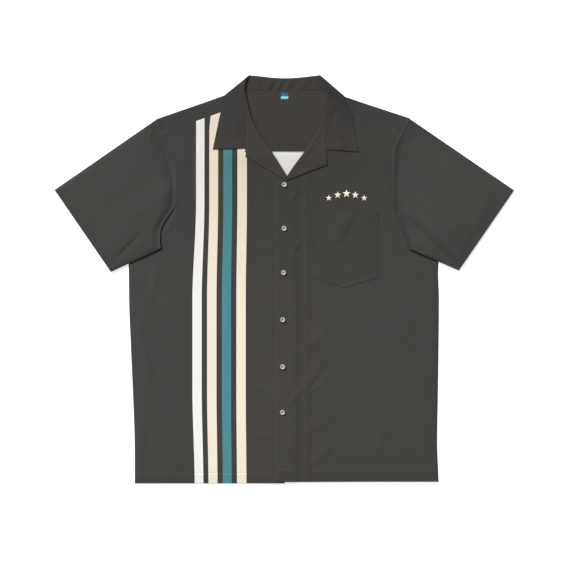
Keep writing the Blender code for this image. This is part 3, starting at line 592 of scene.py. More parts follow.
def new_mesh(name, vertices, faces):
    """A mesh from vertices in mm."""
    mesh = bpy.data.meshes.new(name)
    mesh.from_pydata((np.asarray(vertices) * MM).tolist(), [], faces)
    mesh.update()
    return mesh


def link_piece(name, mesh, material, node=None):
    """A piece that rides on the frame's root, and stands in for a node if one is named."""
    piece = linked(name, mesh)
    if not mesh.materials:
        mesh.materials.append(material)
    mesh.shade_smooth()
    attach(piece, "root")
    if node:
        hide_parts(node)
    return piece


def cloth_piece(node, points, material, wall, side=-1.0, slot="shirt_cloth", **grid):
    """The sheet that stands in for a node: a grid of points with its wall."""
    name = f"{node}_cloth"
    piece = link_piece(name, grid_mesh(name, points, **grid), material, node)
    thicken(piece, wall, side)
    return piece


def cells_of(index):
    """The four corners of every cell in a grid of vertex numbers."""
    return np.stack([index[:-1, :-1], index[:-1, 1:], index[1:, 1:], index[1:, :-1]], axis=-1)


def grid_mesh(name, points, closed=False, kept=None):
    """Faces between the rows and columns of an array of points (rows, columns, 3), in mm."""
    row_count, column_count = points.shape[:2]
    index = np.arange(row_count * column_count).reshape(row_count, column_count)
    if closed:
        index = np.hstack([index, index[:, :1]])
    cells = cells_of(index)
    faces = cells[kept] if kept is not None else cells.reshape(-1, 4)
    used, faces = np.unique(faces, return_inverse=True)
    return new_mesh(name, points.reshape(-1, 3)[used], faces.reshape(-1, 4).tolist())


def slab_mesh(name, top, thickness):
    """A closed sheet: the top points and the same points lowered by the thickness."""
    row_count, column_count = top.shape[:2]
    bottom = top.copy()
    bottom[..., 2] -= thickness
    count = row_count * column_count
    index = np.arange(count).reshape(row_count, column_count)
    cells = cells_of(index).reshape(-1, 4)
    rim = np.concatenate([index[0, :], index[1:, -1], index[-1, -2::-1], index[-2:0:-1, 0]])
    after = np.roll(rim, -1)
    sides = np.stack([rim, rim + count, after + count, after], axis=-1)
    vertices = np.concatenate([top.reshape(-1, 3), bottom.reshape(-1, 3)])
    mesh = new_mesh(name, vertices, np.concatenate([cells, cells[:, ::-1] + count, sides]).tolist())
    mesh["top_faces"] = len(cells)
    return mesh


def thicken(piece, wall, side=-1.0):
    """Gives a surface its wall, to one side of it at -1 or 1 and to both at 0, with a rounded rim."""
    shell = piece.modifiers.new("wall", "SOLIDIFY")
    shell.thickness = wall * MM
    shell.offset = side
    shell.use_even_offset = False
    round_rim(piece, wall)


def round_rim(piece, wall):
    """Rounds the cut rim of a sheet."""
    bevel = piece.modifiers.new("rim", "BEVEL")
    bevel.width = 0.3 * wall * MM
    bevel.segments = 2
    bevel.limit_method = "ANGLE"
    bevel.angle_limit = math.radians(55.0)
    bevel.use_clamp_overlap = True


def stepped(start, end, step, extra=()):
    """Values from start to end about step apart, with extra ones, none crowded together."""
    count = max(1, int(round(abs(end - start) / step)))
    regular = np.linspace(start, end, count + 1)
    away = [v for v in regular[1:-1] if all(abs(v - e) > 0.4 * step for e in extra)]
    return np.array(sorted([start, end, *away, *extra]))


def panel_plan(table, fractions, step=CELL, sharp=False):
    """Plan points of a panel: straight rows between two edges, smooth or with corners at the table's rows."""
    keys = [(row.left.x, row.left.y, row.right.x, row.right.y) for row in table]
    steps = []
    for row, after in zip(table, table[1:]):
        run = max(distance(row.left, after.left), distance(row.right, after.right))
        steps.append(max(1, int(round(run / step))))
    edges = hermite(keys, steps, steady=True)
    if sharp:
        at = np.concatenate([[0], np.cumsum(steps)])
        edges = np.stack([np.interp(np.arange(at[-1] + 1), at, column) for column in zip(*keys)], axis=-1)
    u = np.asarray(fractions)[None, :]
    x = edges[:, 0:1] * (1 - u) + edges[:, 2:3] * u
    y = edges[:, 1:2] * (1 - u) + edges[:, 3:4] * u
    return x, y


def add_rows(x, y, wanted):
    """Adds straight rows at given heights among a panel's level rows."""
    for height in wanted:
        middle = y.mean(axis=1)
        below = int(np.searchsorted(middle, height)) - 1
        t = (height - middle[below]) / (middle[below + 1] - middle[below])
        if t < 0.08 or t > 0.92:
            continue
        x = np.insert(x, below + 1, mix(x[below], x[below + 1], t), axis=0)
        y = np.insert(y, below + 1, mix(y[below], y[below + 1], t), axis=0)
    return x, y


def stacked(x, y, z):
    return np.stack([x, y, z], axis=-1)


def turned_left(grid, edge):
    """The grid turned so that the named edge becomes its first column."""
    if edge == "right":
        return grid[:, ::-1]
    if edge == "bottom":
        return grid.transpose(1, 0, 2)
    if edge == "top":
        return grid[::-1].transpose(1, 0, 2)
    return grid


def turned_back(grid, edge):
    """Undoes turned_left."""
    return grid.transpose(1, 0, 2)[::-1] if edge == "top" else turned_left(grid, edge)


def roll_steps(angles, width, height):
    """Quarter of a roll: how far inward and how far down each angle lies from its crown."""
    return [(width * (1.0 - math.cos(a)), height * (1.0 - math.sin(a))) for a in np.radians(angles)]


def turn_down(points, edge, radius, drop, curl, spread=1.0):
    """Rolls one edge of a grid over and down by drop; its foot goes on inward by curl, or outward if below 0.

    Spread above 1 makes the roll wider than it is high.
    """
    grid = turned_left(points, edge)
    outer = grid[:, 0]
    inward = level_unit(grid[:, 2] - outer)
    amount = np.broadcast_to(np.asarray(drop, float), (len(outer),))
    reach = np.minimum(radius, 0.9 * amount)
    shift = np.broadcast_to(np.asarray(curl, float), (len(outer),))
    added = [moved(outer, inward, shift, amount + 0.03), moved(outer, inward, 0.0, amount)]
    for inset, fall in roll_steps((0.0, 30.0, 60.0, 90.0), spread * reach, reach):
        added.append(moved(outer, inward, inset, fall))
    keep = 1
    spans = np.linalg.norm(grid[:, 1:6] - outer[:, None], axis=2).min(axis=0)
    while keep < 5 and spans[keep - 1] < 1.15 * radius * spread:
        keep += 1
    return turned_back(np.concatenate([np.stack(added, axis=1), grid[:, keep:]], axis=1), edge)


def lap_under(points, edge, run, dip):
    """Extends one edge of a grid outward and slightly down, to lie hidden under the piece it is sewn to."""
    grid = turned_left(points, edge)
    outer = grid[:, 0]
    outward = level_unit(outer - grid[:, 1])
    added = [moved(outer, outward, run, dip), moved(outer, outward, 0.25 * run, 0.7 * dip)]
    return turned_back(np.concatenate([np.stack(added, axis=1), grid], axis=1), edge)


def pucker(along):
    """Uneven small waves along a row of stitches."""
    return 0.5 * np.sin(along / 2.3) + 0.35 * np.sin(along / 3.7 + 1.1) + 0.25 * np.sin(along / 1.4 + 0.4)


def hem_cluster(hem):
    """Fine steps across a hem's row of stitches."""
    return [hem + v for v in HEM_STEPS]


def hem_relief(x, y, hem):
    """The turned-up hem: a thicker band, drawn down along its row of stitches."""
    band = 0.3 * smooth((hem["stitch"] + 1.5 - y) / 3.0)
    drawn = swell(y - hem["stitch"], 2.4)
    return band - 0.32 * drawn + 0.07 * pucker(x) * swell(y - hem["stitch"], 9.0)


# ---- Stitches ----


def stitch_mesh(name, runs, length=2.5, gap=0.6, radius=0.17):
    """Short raised threads laid end to end along each run of points (mm)."""
    sides = 6
    stations = [(-0.5, 0.0), (-0.42, 0.6), (-0.2, 0.95), (0.2, 0.95), (0.42, 0.6), (0.5, 0.0)]
    vertices = []
    faces = []
    for run in runs:
        run = np.asarray(run, float)
        spans = np.linalg.norm(np.diff(run, axis=0), axis=1)
        measure = np.concatenate([[0.0], np.cumsum(spans)])
        pitch = length + gap
        count = int((measure[-1] - 0.5 * gap) / pitch)
        for number in range(count):
            middle = (number + 0.5) * pitch + 0.02 * pitch * math.sin(number * 2.4)
            ends = (middle - 0.5 * length, middle + 0.5 * length)
            a, b = [np.array([np.interp(end, measure, run[:, k]) for k in range(3)]) for end in ends]
            along = (b - a) / max(np.linalg.norm(b - a), 1e-6)
            side = np.array([along[1], -along[0], 0.0])
            side /= max(np.linalg.norm(side), 1e-6)
            up = np.cross(side, along)
            centre = (a + b) / 2.0
            first = len(vertices)
            for where, size in stations:
                lift = up * radius * (0.9 * size - 0.35)
                if size == 0.0:
                    vertices.append(centre + along * where * length + lift)
                    continue
                for angle in 2.0 * math.pi * np.arange(sides) / sides:
                    spoke = side * math.cos(angle) + up * math.sin(angle)
                    vertices.append(centre + along * where * length + lift + spoke * radius * size)
            ring = [first + 1 + sides * k for k in range(4)]
            tail = first + 1 + sides * 4
            for k in range(sides):
                after = (k + 1) % sides
                faces.append((first, ring[0] + k, ring[0] + after))
                for lower, upper in zip(ring, ring[1:]):
                    faces.append((lower + k, upper + k, upper + after, lower + after))
                faces.append((ring[3] + k, tail, ring[3] + after))
    return new_mesh(name, vertices, faces)


def sew(name, runs, material, **sizes):
    return link_piece(name, stitch_mesh(name, runs, **sizes), material)


def on_surface(path, height, step=1.5):
    """Points along a plan path, on a surface given by its height."""
    points = []
    for a, b in zip(path, path[1:]):
        count = max(1, int(distance(a, b) / step))
        points += [mix_points(a, b, k / count) for k in range(count)]
    points.append(path[-1])
    x = np.array([p.x for p in points])
    y = np.array([p.y for p in points])
    return np.stack([x, y, height(x, y)], axis=-1)


# ---- Materials ----


def set_inputs(node, values):
    """Sets a node's inputs by name."""
    for name, value in values.items():
        node.inputs[name].default_value = value


def new_material(name, inputs):
    """A material with its node tree and its shader, given the shader's inputs."""
    material = bpy.data.materials.new(name)
    material.use_nodes = True
    tree = material.node_tree
    shader = tree.nodes["Principled BSDF"]
    set_inputs(shader, inputs)
    return material, tree, shader


def place_node(tree):
    """The place on the object (m)."""
    return tree.nodes.new("ShaderNodeTexCoord").outputs["Object"]


def feed(tree, socket, given):
    """Gives a socket a number, a colour or another node's output."""
    if isinstance(given, (int, float)):
        socket.default_value = given
    elif isinstance(given, tuple):
        socket.default_value = (*given, 1.0)
    elif given is not None:
        tree.links.new(given, socket)


def value_node(tree, operation, *inputs):
    """A math node; inputs are sockets or plain numbers."""
    node = tree.nodes.new("ShaderNodeMath")
    node.operation = operation
    for socket, given in zip(node.inputs, inputs):
        feed(tree, socket, given)
    return node.outputs[0]


def times(tree, first, second):
    return value_node(tree, "MULTIPLY", first, second)


def ramp_node(tree, value, start, end, low=0.0, high=1.0):
    """A smooth step of a value from low to high between start and end."""
    node = tree.nodes.new("ShaderNodeMapRange")
    node.interpolation_type = "SMOOTHSTEP"
    set_inputs(node, {"From Min": start, "From Max": end, "To Min": low, "To Max": high})
    tree.links.new(value, node.inputs["Value"])
    return node.outputs["Result"]


def colour_mix(tree, factor, first, second, blend="MIX"):
    """Two colours mixed by a factor, or blended in another way."""
    node = tree.nodes.new("ShaderNodeMix")
    node.data_type = "RGBA"
    node.blend_type = blend
    for socket, given in ((node.inputs[0], factor), (node.inputs[6], first), (node.inputs[7], second)):
        feed(tree, socket, given)
    return node.outputs[2]


def shaded(tree, colour, grey):
    """A colour darkened by a grey value."""
    combine = tree.nodes.new("ShaderNodeCombineColor")
    for socket in combine.inputs:
        tree.links.new(grey, socket)
    return colour_mix(tree, 1.0, colour, combine.outputs[0], "MULTIPLY")


def band_node(tree, across, stripe, soft):
    """1 between a stripe's two sides and 0 beyond them, with soft edges (mm)."""
    left = ramp_node(tree, across, (stripe.left - soft) * MM, (stripe.left + soft) * MM)
    right = ramp_node(tree, across, (stripe.right + soft) * MM, (stripe.right - soft) * MM)
    return times(tree, left, right)


def near_node(tree, x, y, shade, depth):
    """Depth at a centre, rising to 1 where the shade's reach ends."""
    across = value_node(tree, "SUBTRACT", x, shade["centre"][0])
    up = value_node(tree, "SUBTRACT", y, shade["centre"][1])
    square = value_node(tree, "MULTIPLY_ADD", across, across, times(tree, up, up))
    return ramp_node(tree, value_node(tree, "SQRT", square), *shade["reach"], depth, 1.0)


def noise_node(tree, vector, scale, detail):
    """Soft noise over the object."""
    node = tree.nodes.new("ShaderNodeTexNoise")
    set_inputs(node, {"Scale": scale, "Detail": detail})
    tree.links.new(vector, node.inputs["Vector"])
    return node.outputs[0]


def cloth_material(
    name, colour, striped=False, pitch=0.55, mottle=0.06, sheen=0.05,
    neck_shade_depth=0.80, turn_shade_depth=1.0, warmth=1.0, band=None,
):
    """Plain-woven cloth: fine crossing threads, slight unevenness of dye, painted shade round the neck and at
    the collar's turn, and a soft sheen.
    """
    looks = {"Roughness": 0.82, "Specular IOR Level": 0.25, "Sheen Weight": sheen, "Sheen Roughness": 0.45}
    material, tree, shader = new_material(name, looks)
    place = place_node(tree)
    split = tree.nodes.new("ShaderNodeSeparateXYZ")
    tree.links.new(place, split.inputs[0])
    x, y = split.outputs[0], split.outputs[1]

    turns = 2.0 * math.pi / (pitch * MM)
    warp, weft = [value_node(tree, "SINE", times(tree, axis, turns)) for axis in (x, y)]
    weave = times(tree, warp, weft)
    slub = noise_node(tree, place, SLUB_SCALE, 3.0)
    broad = noise_node(tree, place, BROAD_SCALE, 4.0)

    base = stripe_colour(tree, x, y, colour) if striped else colour
    if band:
        base = colour_mix(tree, band_node(tree, y, band, 0.4), colour, band.colour)
    dark = value_node(tree, "MULTIPLY_ADD", broad, mottle, 1.0 - 0.5 * mottle)
    fine = value_node(tree, "MULTIPLY_ADD", slub, 1.6 * mottle, 1.0 - 0.8 * mottle)
    shade = times(tree, dark, fine)
    # Painted shade: the cloth darker round the neck.
    shade = times(tree, shade, near_node(tree, x, y, NECK_SHADE, neck_shade_depth))
    # Painted shade where the collar's fall turns over beside the wearer's left shoulder; only the collar's
    # cloth uses it.
    shade = times(tree, shade, near_node(tree, x, y, TURN_SHADE, turn_shade_depth))
    shade = value_node(tree, "MULTIPLY_ADD", weave, 0.05, shade)
    dyed = shaded(tree, base, shade)
    warm = warm_node(tree, x, y, warmth)
    tree.links.new(colour_mix(tree, warm, dyed, WARM_TINT, "MULTIPLY"), shader.inputs["Base Color"])

    bump = tree.nodes.new("ShaderNodeBump")
    set_inputs(bump, {"Strength": 0.5, "Distance": THREAD_RELIEF * MM})
    tree.links.new(value_node(tree, "MULTIPLY_ADD", weave, 0.5, slub), bump.inputs["Height"])
    tree.links.new(bump.outputs[0], shader.inputs["Normal"])
    return material


def warm_node(tree, x, y, warmth):
    """How far the dye leans to brown: most in the middle, wider over the chest, none at the sides."""
    off_middle = value_node(tree, "ABSOLUTE", value_node(tree, "SUBTRACT", x, WARM_MIDDLE_X))
    middle = ramp_node(tree, off_middle, 0.04, 0.15, warmth, 0.0)
    chest = times(tree, ramp_node(tree, y, 0.0, 0.06), ramp_node(tree, y, 0.31, 0.26))
    chest = times(tree, chest, ramp_node(tree, off_middle, 0.20, 0.14, 0.0, 0.9 * warmth))
    return value_node(tree, "MAXIMUM", middle, chest)


def stripe_colour(tree, x, y, ground):
    """Vertical printed bands; they bow a little towards the side seam below the chest."""
    bow, draw = STRIPE_BOW, STRIPE_DRAW
    bowed = ramp_node(tree, y, bow["start"] * MM, (bow["start"] - bow["run"]) * MM)
    back_in = ramp_node(tree, y, bow["end"] * MM, (bow["end"] - bow["run"]) * MM, 1.0, 0.4)
    from_x = value_node(tree, "SUBTRACT", bow["from_x"] * MM, x)
    outward = value_node(tree, "DIVIDE", from_x, bow["across"] * MM)
    squared = times(tree, outward, outward)
    reach = value_node(tree, "MULTIPLY_ADD", squared, bow["outer"] * MM, bow["inner"] * MM)
    straight = value_node(tree, "MULTIPLY_ADD", reach, times(tree, bowed, back_in), x)
    drawn_up = ramp_node(tree, y, draw["start"] * MM, draw["end"] * MM, 0.0, -draw["shift"] * MM)
    beside = ramp_node(tree, x, draw["outer_x"] * MM, draw["inner_x"] * MM)
    straight = value_node(tree, "MULTIPLY_ADD", drawn_up, beside, straight)
    colour = ground
    for stripe in STRIPES:
        colour = colour_mix(tree, band_node(tree, straight, stripe, 0.35), colour, stripe.colour)
    return colour


def thread_material(name, colour):
    material, tree, shader = new_material(name, {"Roughness": 0.6, "Sheen Weight": 0.1})
    twist = noise_node(tree, place_node(tree), TWIST_SCALE, 1.0)
    shade = value_node(tree, "MULTIPLY_ADD", twist, 0.3, 0.85)
    tree.links.new(shaded(tree, colour, shade), shader.inputs["Base Color"])
    return material


def button_material():
    looks = {"Roughness": 0.28, "IOR": 1.5, "Subsurface Weight": 0.25, "Subsurface Scale": 0.002}
    material, tree, shader = new_material("button_resin", looks)
    cloud = noise_node(tree, place_node(tree), 220.0, 3.0)
    tree.links.new(colour_mix(tree, cloud, RESIN_DARK, RESIN_LIGHT), shader.inputs["Base Color"])
    return material


# ---- Pieces ----


def shoulder_y(side, x):
    """Height of the shoulder's straight fold at x."""
    shoulder = SHOULDERS[side]
    slope = (shoulder.kink.y - shoulder.point.y) / (shoulder.kink.x - shoulder.point.x)
    return shoulder.point.y + slope * (x - shoulder.point.x)


def front_seam_ends(side):
    """Ends of the seam where the yoke is sewn to a front."""
    neck_x = side * NECK_WING_X
    return SHOULDERS[side].seam_at_armhole, Point(neck_x, shoulder_y(side, neck_x) - SHOULDER_DROP)


def seam_dip(x, y, path, depth, reach):
    """A groove along a seam."""
    return -depth * swell(path_measures(x, y, path)[0], reach)


def front_relief(side, x, y):
    """Hem, armhole seam and shoulder seam of one front."""
    offset, along = path_measures(x, y, ARMHOLES[side][1:7])[:2]
    relief = hem_relief(x, y, HEMS[side])
    if side < 0:
        relief += 1.15 * smooth((5.2 - np.abs(offset)) / 4.8) * smooth((y - 112.0) / 36.0)
    else:
        beyond = 0.3 * swell(np.abs(offset) - 11.0, 9.0) * smooth((190.0 - y) / 30.0)
        relief += beyond - 0.7 * swell(offset + 2.6, 3.8)
    relief += 0.12 * pucker(along * 0.45) * swell(offset, 14.0)
    return relief + seam_dip(x, y, front_seam_ends(side), 0.05, 3.0)


def right_top(x, y):
    """Top surface of the wearer's right front."""
    return front_low(x, y) + WALL + front_relief(-1, x, y)


def left_top(x, y):
    """Top surface of the wearer's left front."""
    return over_front_low(x, y) + WALL + front_relief(1, x, y)


def make_back(material, inside):
    """The back panel: the dyed side outside, the unprinted side inside."""
    x, y = panel_plan(BACK_ROWS, edge_columns(576.0, 8.0), 8.0)
    middle = x.mean(axis=1, keepdims=True)
    half = (x[:, -1:] - x[:, :1]) / 2.0
    x = middle + (x - middle) * (half - BACK_INSET) / half
    lifted = np.clip(crease_relief(x, y, BACK_CREASES), 0.0, 0.42)
    mesh = slab_mesh("back_panel_cloth", stacked(x, y, BODY_WALL + lifted), BODY_WALL)
    mesh.materials.append(material)
    mesh.materials.append(inside)
    marks = np.zeros(len(mesh.polygons), dtype=np.int32)
    marks[: mesh["top_faces"]] = 1
    mesh.polygons.foreach_set("material_index", marks)
    piece = link_piece("back_panel_cloth", mesh, material, node="back_panel")
    round_rim(piece, BODY_WALL)
    return piece


def edge_columns(width, step=CELL):
    """Fractions across a panel of this width, closer together beside both edges."""
    near = [0.0, *EDGE_STEPS]
    inner = stepped(near[-1], width - near[-1], step)[1:-1]
    return np.array(sorted([*near, *inner, *(width - v for v in near)])) / width


def front_columns(row, fine_left, fine_right):
    """Fractions across a front: fine between two places, where the facing and the placket lie."""
    start, end = row.left.x, row.right.x
    values = [start, end] + [start + v for v in EDGE_STEPS] + [end - v for v in EDGE_STEPS]
    low, high = start + EDGE_STEPS[-1], end - EDGE_STEPS[-1]
    fine = np.arange(max(low + 2.0, fine_left), min(high - 2.0, fine_right), 2.0)
    values += list(fine)
    for a, b in ((low, fine[0]), (fine[-1], high)):
        values += list(stepped(a, b, CELL)[1:-1])
    return (np.array(sorted(values)) - start) / (end - start)


def hem_rows(hem):
    """Heights of the fine rows at a front's hem."""
    return [hem["edge"] + v for v in EDGE_STEPS] + hem_cluster(hem["stitch"])


def side_turn(points, side, armhole_from):
    """Rolls a front's outer edge down at the side seam, and tucks it under the sleeve at the armhole."""
    column, edge_name = (0, "left") if side < 0 else (-1, "right")
    in_armhole = points[:, column, 1] > armhole_from
    points[:, column, 0] += side * np.where(in_armhole, 0.0, SIDE_EASE)
    edge = points[:, column]
    foot = 0.35 + 0.6 * smooth((-374.0 - edge[:, 1]) / 8.0)
    drop = np.where(in_armhole, 0.3, edge[:, 2] - foot)
    curl = np.where(in_armhole, -2.5, 0.5)
    return turn_down(points, edge_name, 1.8, drop, curl, 2.2)


def front_points(side, table, fine, top, armhole_from):
    """One front's top surface, turned down at its side and its hem, and lapped under the yoke."""
    x, y = panel_plan(table, front_columns(table[0], *fine))
    x, y = add_rows(x, y, hem_rows(HEMS[side]))
    points = side_turn(stacked(x, y, top(x, y)), side, armhole_from)
    points = lap_under(points, "top", 3.0, 0.35)
    return turn_down(points, "bottom", 0.9, np.clip(points[0, :, 2] - 0.9, 0.05, 1.1), 0.3)


def make_fronts(material, striped):
    """Both fronts; the left one's placket edge is turned down onto the right one."""
    points = front_points(-1, FRONT_RIGHT_ROWS, (-60.0, 0.0), right_top, 133.0)
    right = cloth_piece("front_right", points, striped, BODY_WALL)
    points = front_points(1, FRONT_LEFT_ROWS, (PLACKET_EDGE_X, 62.0), left_top, 123.0)
    placket = points[:, 0]
    under = front_low(placket[:, 0], placket[:, 1]) + WALL
    points = turn_down(points, "left", 1.0, np.maximum(placket[:, 2] - under - 0.05, 0.9), 0.4, 1.8)
    return right, cloth_piece("front_left", points, material, BODY_WALL)


def yoke_wing(side, fractions):
    """A yoke wing from the back seam up, over the shoulder fold, to the front seam: rows by columns."""
    shoulder = SHOULDERS[side]
    corner_point, seam_point = ARMHOLES[side][2:4]
    neck_x = side * NECK_WING_X
    u = np.asarray(fractions)
    top_x = mix(shoulder.point.x, neck_x, u)
    top_y = shoulder_y(side, top_x)
    slope = math.atan2(shoulder.kink.y - shoulder.point.y, abs(shoulder.kink.x - shoulder.point.x))
    out_x, out_y = side * math.sin(slope), math.cos(slope)
    radius = (front_low(top_x, top_y) + WALL - back_low(top_x, top_y)) / 2.0
    tuck = 2.4 * smooth((KINK_X + 1.0 - np.abs(top_x)) / 4.0)
    centre_x = top_x - out_x * (FOLD_SPREAD * radius + tuck)
    centre_y = top_y - out_y * (FOLD_SPREAD * radius + tuck)

    def across(start_x, start_y, end_x, end_y, steps, height):
        """Rows between two lines of points, one at each step."""
        places = [(mix(start_x, end_x, t), mix(start_y, end_y, t)) for t in steps]
        return [stacked(x, y, height(x, y)) for x, y in places]

    back_y = BACK_SEAM_Y + 0.3
    seam_t = (back_y - seam_point.y) / (corner_point.y - seam_point.y)
    seam_x = mix(mix(seam_point.x, corner_point.x, seam_t), neck_x, u)
    corner_x, corner_y = mix(corner_point.x, neck_x, u), mix(corner_point.y, YOKE_LEVEL_Y, u)
    seam_y = np.full(u.shape, back_y)
    rows = [stacked(seam_x, seam_y, back_low(seam_x, seam_y))]
    rows += across(corner_x, corner_y, centre_x, centre_y, YOKE_BACK_STEPS, back_low)
    low = back_low(centre_x, centre_y)
    for angle in np.radians(YOKE_FOLD_ANGLES):
        reach = FOLD_SPREAD * radius * math.cos(angle)
        height = low + radius * (1.0 + math.sin(angle))
        rows.append(stacked(centre_x + out_x * reach, centre_y + out_y * reach, height))
    start, end = front_seam_ends(side)
    seam_x, seam_y = mix(start.x, end.x, u), mix(start.y, end.y, u)
    rows += across(centre_x, centre_y, seam_x, seam_y, YOKE_FRONT_STEPS, lambda x, y: yoke_top(side, x, y))
    return np.array(rows)


def yoke_top(side, x, y):
    """Top surface of the yoke's wings in front of the shoulder fold."""
    offset, along = path_measures(x, y, front_seam_ends(side))[:2]
    relief = 0.03 * pucker(along) * swell(np.abs(offset), 9.0) - 0.05 * swell(offset, 3.0)
    relief += seam_dip(x, y, ARMHOLES[side][0:3], 0.25, 2.5)
    relief += crease_relief(x, y, YOKE_CREASES)
    return front_low(x, y) + WALL + relief


def make_yokes(material, inner_material):
    """The outer yoke with both wings, and the inner yoke with its seam allowances."""
    wing = edge_columns(abs(SHOULDERS[-1].point.x) - NECK_WING_X)
    right = wing_flange(yoke_wing(-1, wing), 0)
    left = wing_flange(yoke_wing(1, wing)[:, ::-1], -1)
    middle_x = np.linspace(-NECK_WING_X, NECK_WING_X, 46)[1:-1]
    back_count = len(YOKE_BACK_STEPS) + 1
    ys = np.concatenate([[BACK_SEAM_Y + 0.3], mix(YOKE_LEVEL_Y, NECK_SEAM_Y, YOKE_BACK_STEPS)])
    x, y = np.meshgrid(middle_x, ys)
    middle = stacked(x, y, back_low(x, y))
    unused = np.repeat(middle[-1:], right.shape[0] - back_count, axis=0)
    middle = np.concatenate([middle, unused], axis=0)
    points = turn_front_seam(np.concatenate([right, middle, left], axis=1))
    kept = np.ones((points.shape[0] - 1, points.shape[1] - 1), bool)
    kept[back_count - 1 :, right.shape[1] - 1 : right.shape[1] + middle.shape[1]] = False
    yoke = cloth_piece("yoke", points, material, THIN_WALL, 1.0, kept=kept)

    xs = np.linspace(-INNER_YOKE_X, INNER_YOKE_X, 57)
    x, y = np.meshgrid(xs, stepped(BACK_SEAM_Y + 0.3, NECK_SEAM_Y, 3.0, INNER_YOKE_LINES))
    points = turn_down(stacked(x, y, inner_top(x, y)), "bottom", 0.6, 0.75, 0.3)
    points = lap_under(points, "top", 2.6, 0.8)
    return yoke, cloth_piece("yoke_inner", points, inner_material, THIN_WALL)


def inner_top(x, y):
    """Top surface of the inner yoke, drawn down along its stitches."""
    low_stitch, second_stitch, top_stitch = INNER_YOKE_STITCHES
    waves = 0.12 * np.sin(x / 9.0 + y / 21.0) * smooth((352.0 - y) / 40.0)
    drawn = -0.28 * swell(y - low_stitch, 1.8) - 0.28 * swell(y - second_stitch, 1.8)
    drawn -= 0.2 * swell(y - top_stitch, 2.4)
    drawn += 0.06 * pucker(x) * (swell(y - 250.3, 8.0) + swell(y - top_stitch, 7.0))
    return back_low(x, y) + LAYER + 0.9 + waves + drawn


def wing_flange(points, column):
    """Adds a hidden seam allowance beyond a wing's armhole edge, towards the middle of its thickness."""
    edge = points[:, column]
    outward = level_unit(edge - points[:, 1 if column == 0 else -2])
    low = back_low(edge[:, 0], edge[:, 1])
    middle = low + (front_low(edge[:, 0], edge[:, 1]) + WALL - low) / 2.0
    fall = edge[:, 2] - middle
    added = [moved(edge, outward, 2.5, 0.7 * fall), moved(edge, outward, 0.0, 0.6 * fall)]
    if column == 0:
        return np.concatenate([np.stack(added, axis=1), points], axis=1)
    return np.concatenate([points, np.stack(added[::-1], axis=1)], axis=1)


def turn_front_seam(points):
    """The yoke's folded edge at the front seam: a small roll down onto the front."""
    last = points[-1]
    inward = level_unit(points[-2] - last)
    quarter = roll_steps((90.0, 60.0, 30.0, 0.0), 0.22, 0.22)
    rows = [moved(last, inward, inset, fall) for inset, fall in quarter]
    rows.append(moved(last, inward, 0.2, 0.5))
    return np.concatenate([points[:-1], np.array(rows)], axis=0)


def fine_stations():
    """The collar's sections, closely spaced: roll, neck and edge points, turn, and place in the table."""
    keys = []
    for station in STATIONS:
        neck = station.neck or mix_points(station.roll, station.edge, 0.3)
        keys.append((*station.roll, *neck, *station.edge, station.turn / 6.0))
    steps = []
    for a, b in zip(STATIONS, STATIONS[1:]):
        run = max(distance(a.roll, b.roll), distance(a.edge, b.edge), abs(a.turn - b.turn) / 4.0)
        steps.append(max(2, int(round(run / 3.2))))
    fine = hermite(keys, steps)
    order = np.concatenate([[k + j / n for j in range(n)] for k, n in enumerate(steps)] + [[len(steps)]])
    turn = np.clip(fine[:, 6] * 6.0, -90.0, 90.0)
    return fine[:, 0:2], fine[:, 2:4], fine[:, 4:6], turn, order


def collar_front(p):
    """Middle of a collar layer that lies on the fronts."""
    return front_low(p[:, 0], p[:, 1]) + SHOWN_COLLAR_WALL / 2.0


def plan_rows(start, end, shares, height):
    """Rows between two lines of plan points, at each share of the way; height takes the points and share."""
    rows = []
    for t in shares:
        p = start + (end - start) * np.asarray(t)[..., None]
        rows.append(stacked(p[:, 0], p[:, 1], height(p, t)))
    return rows


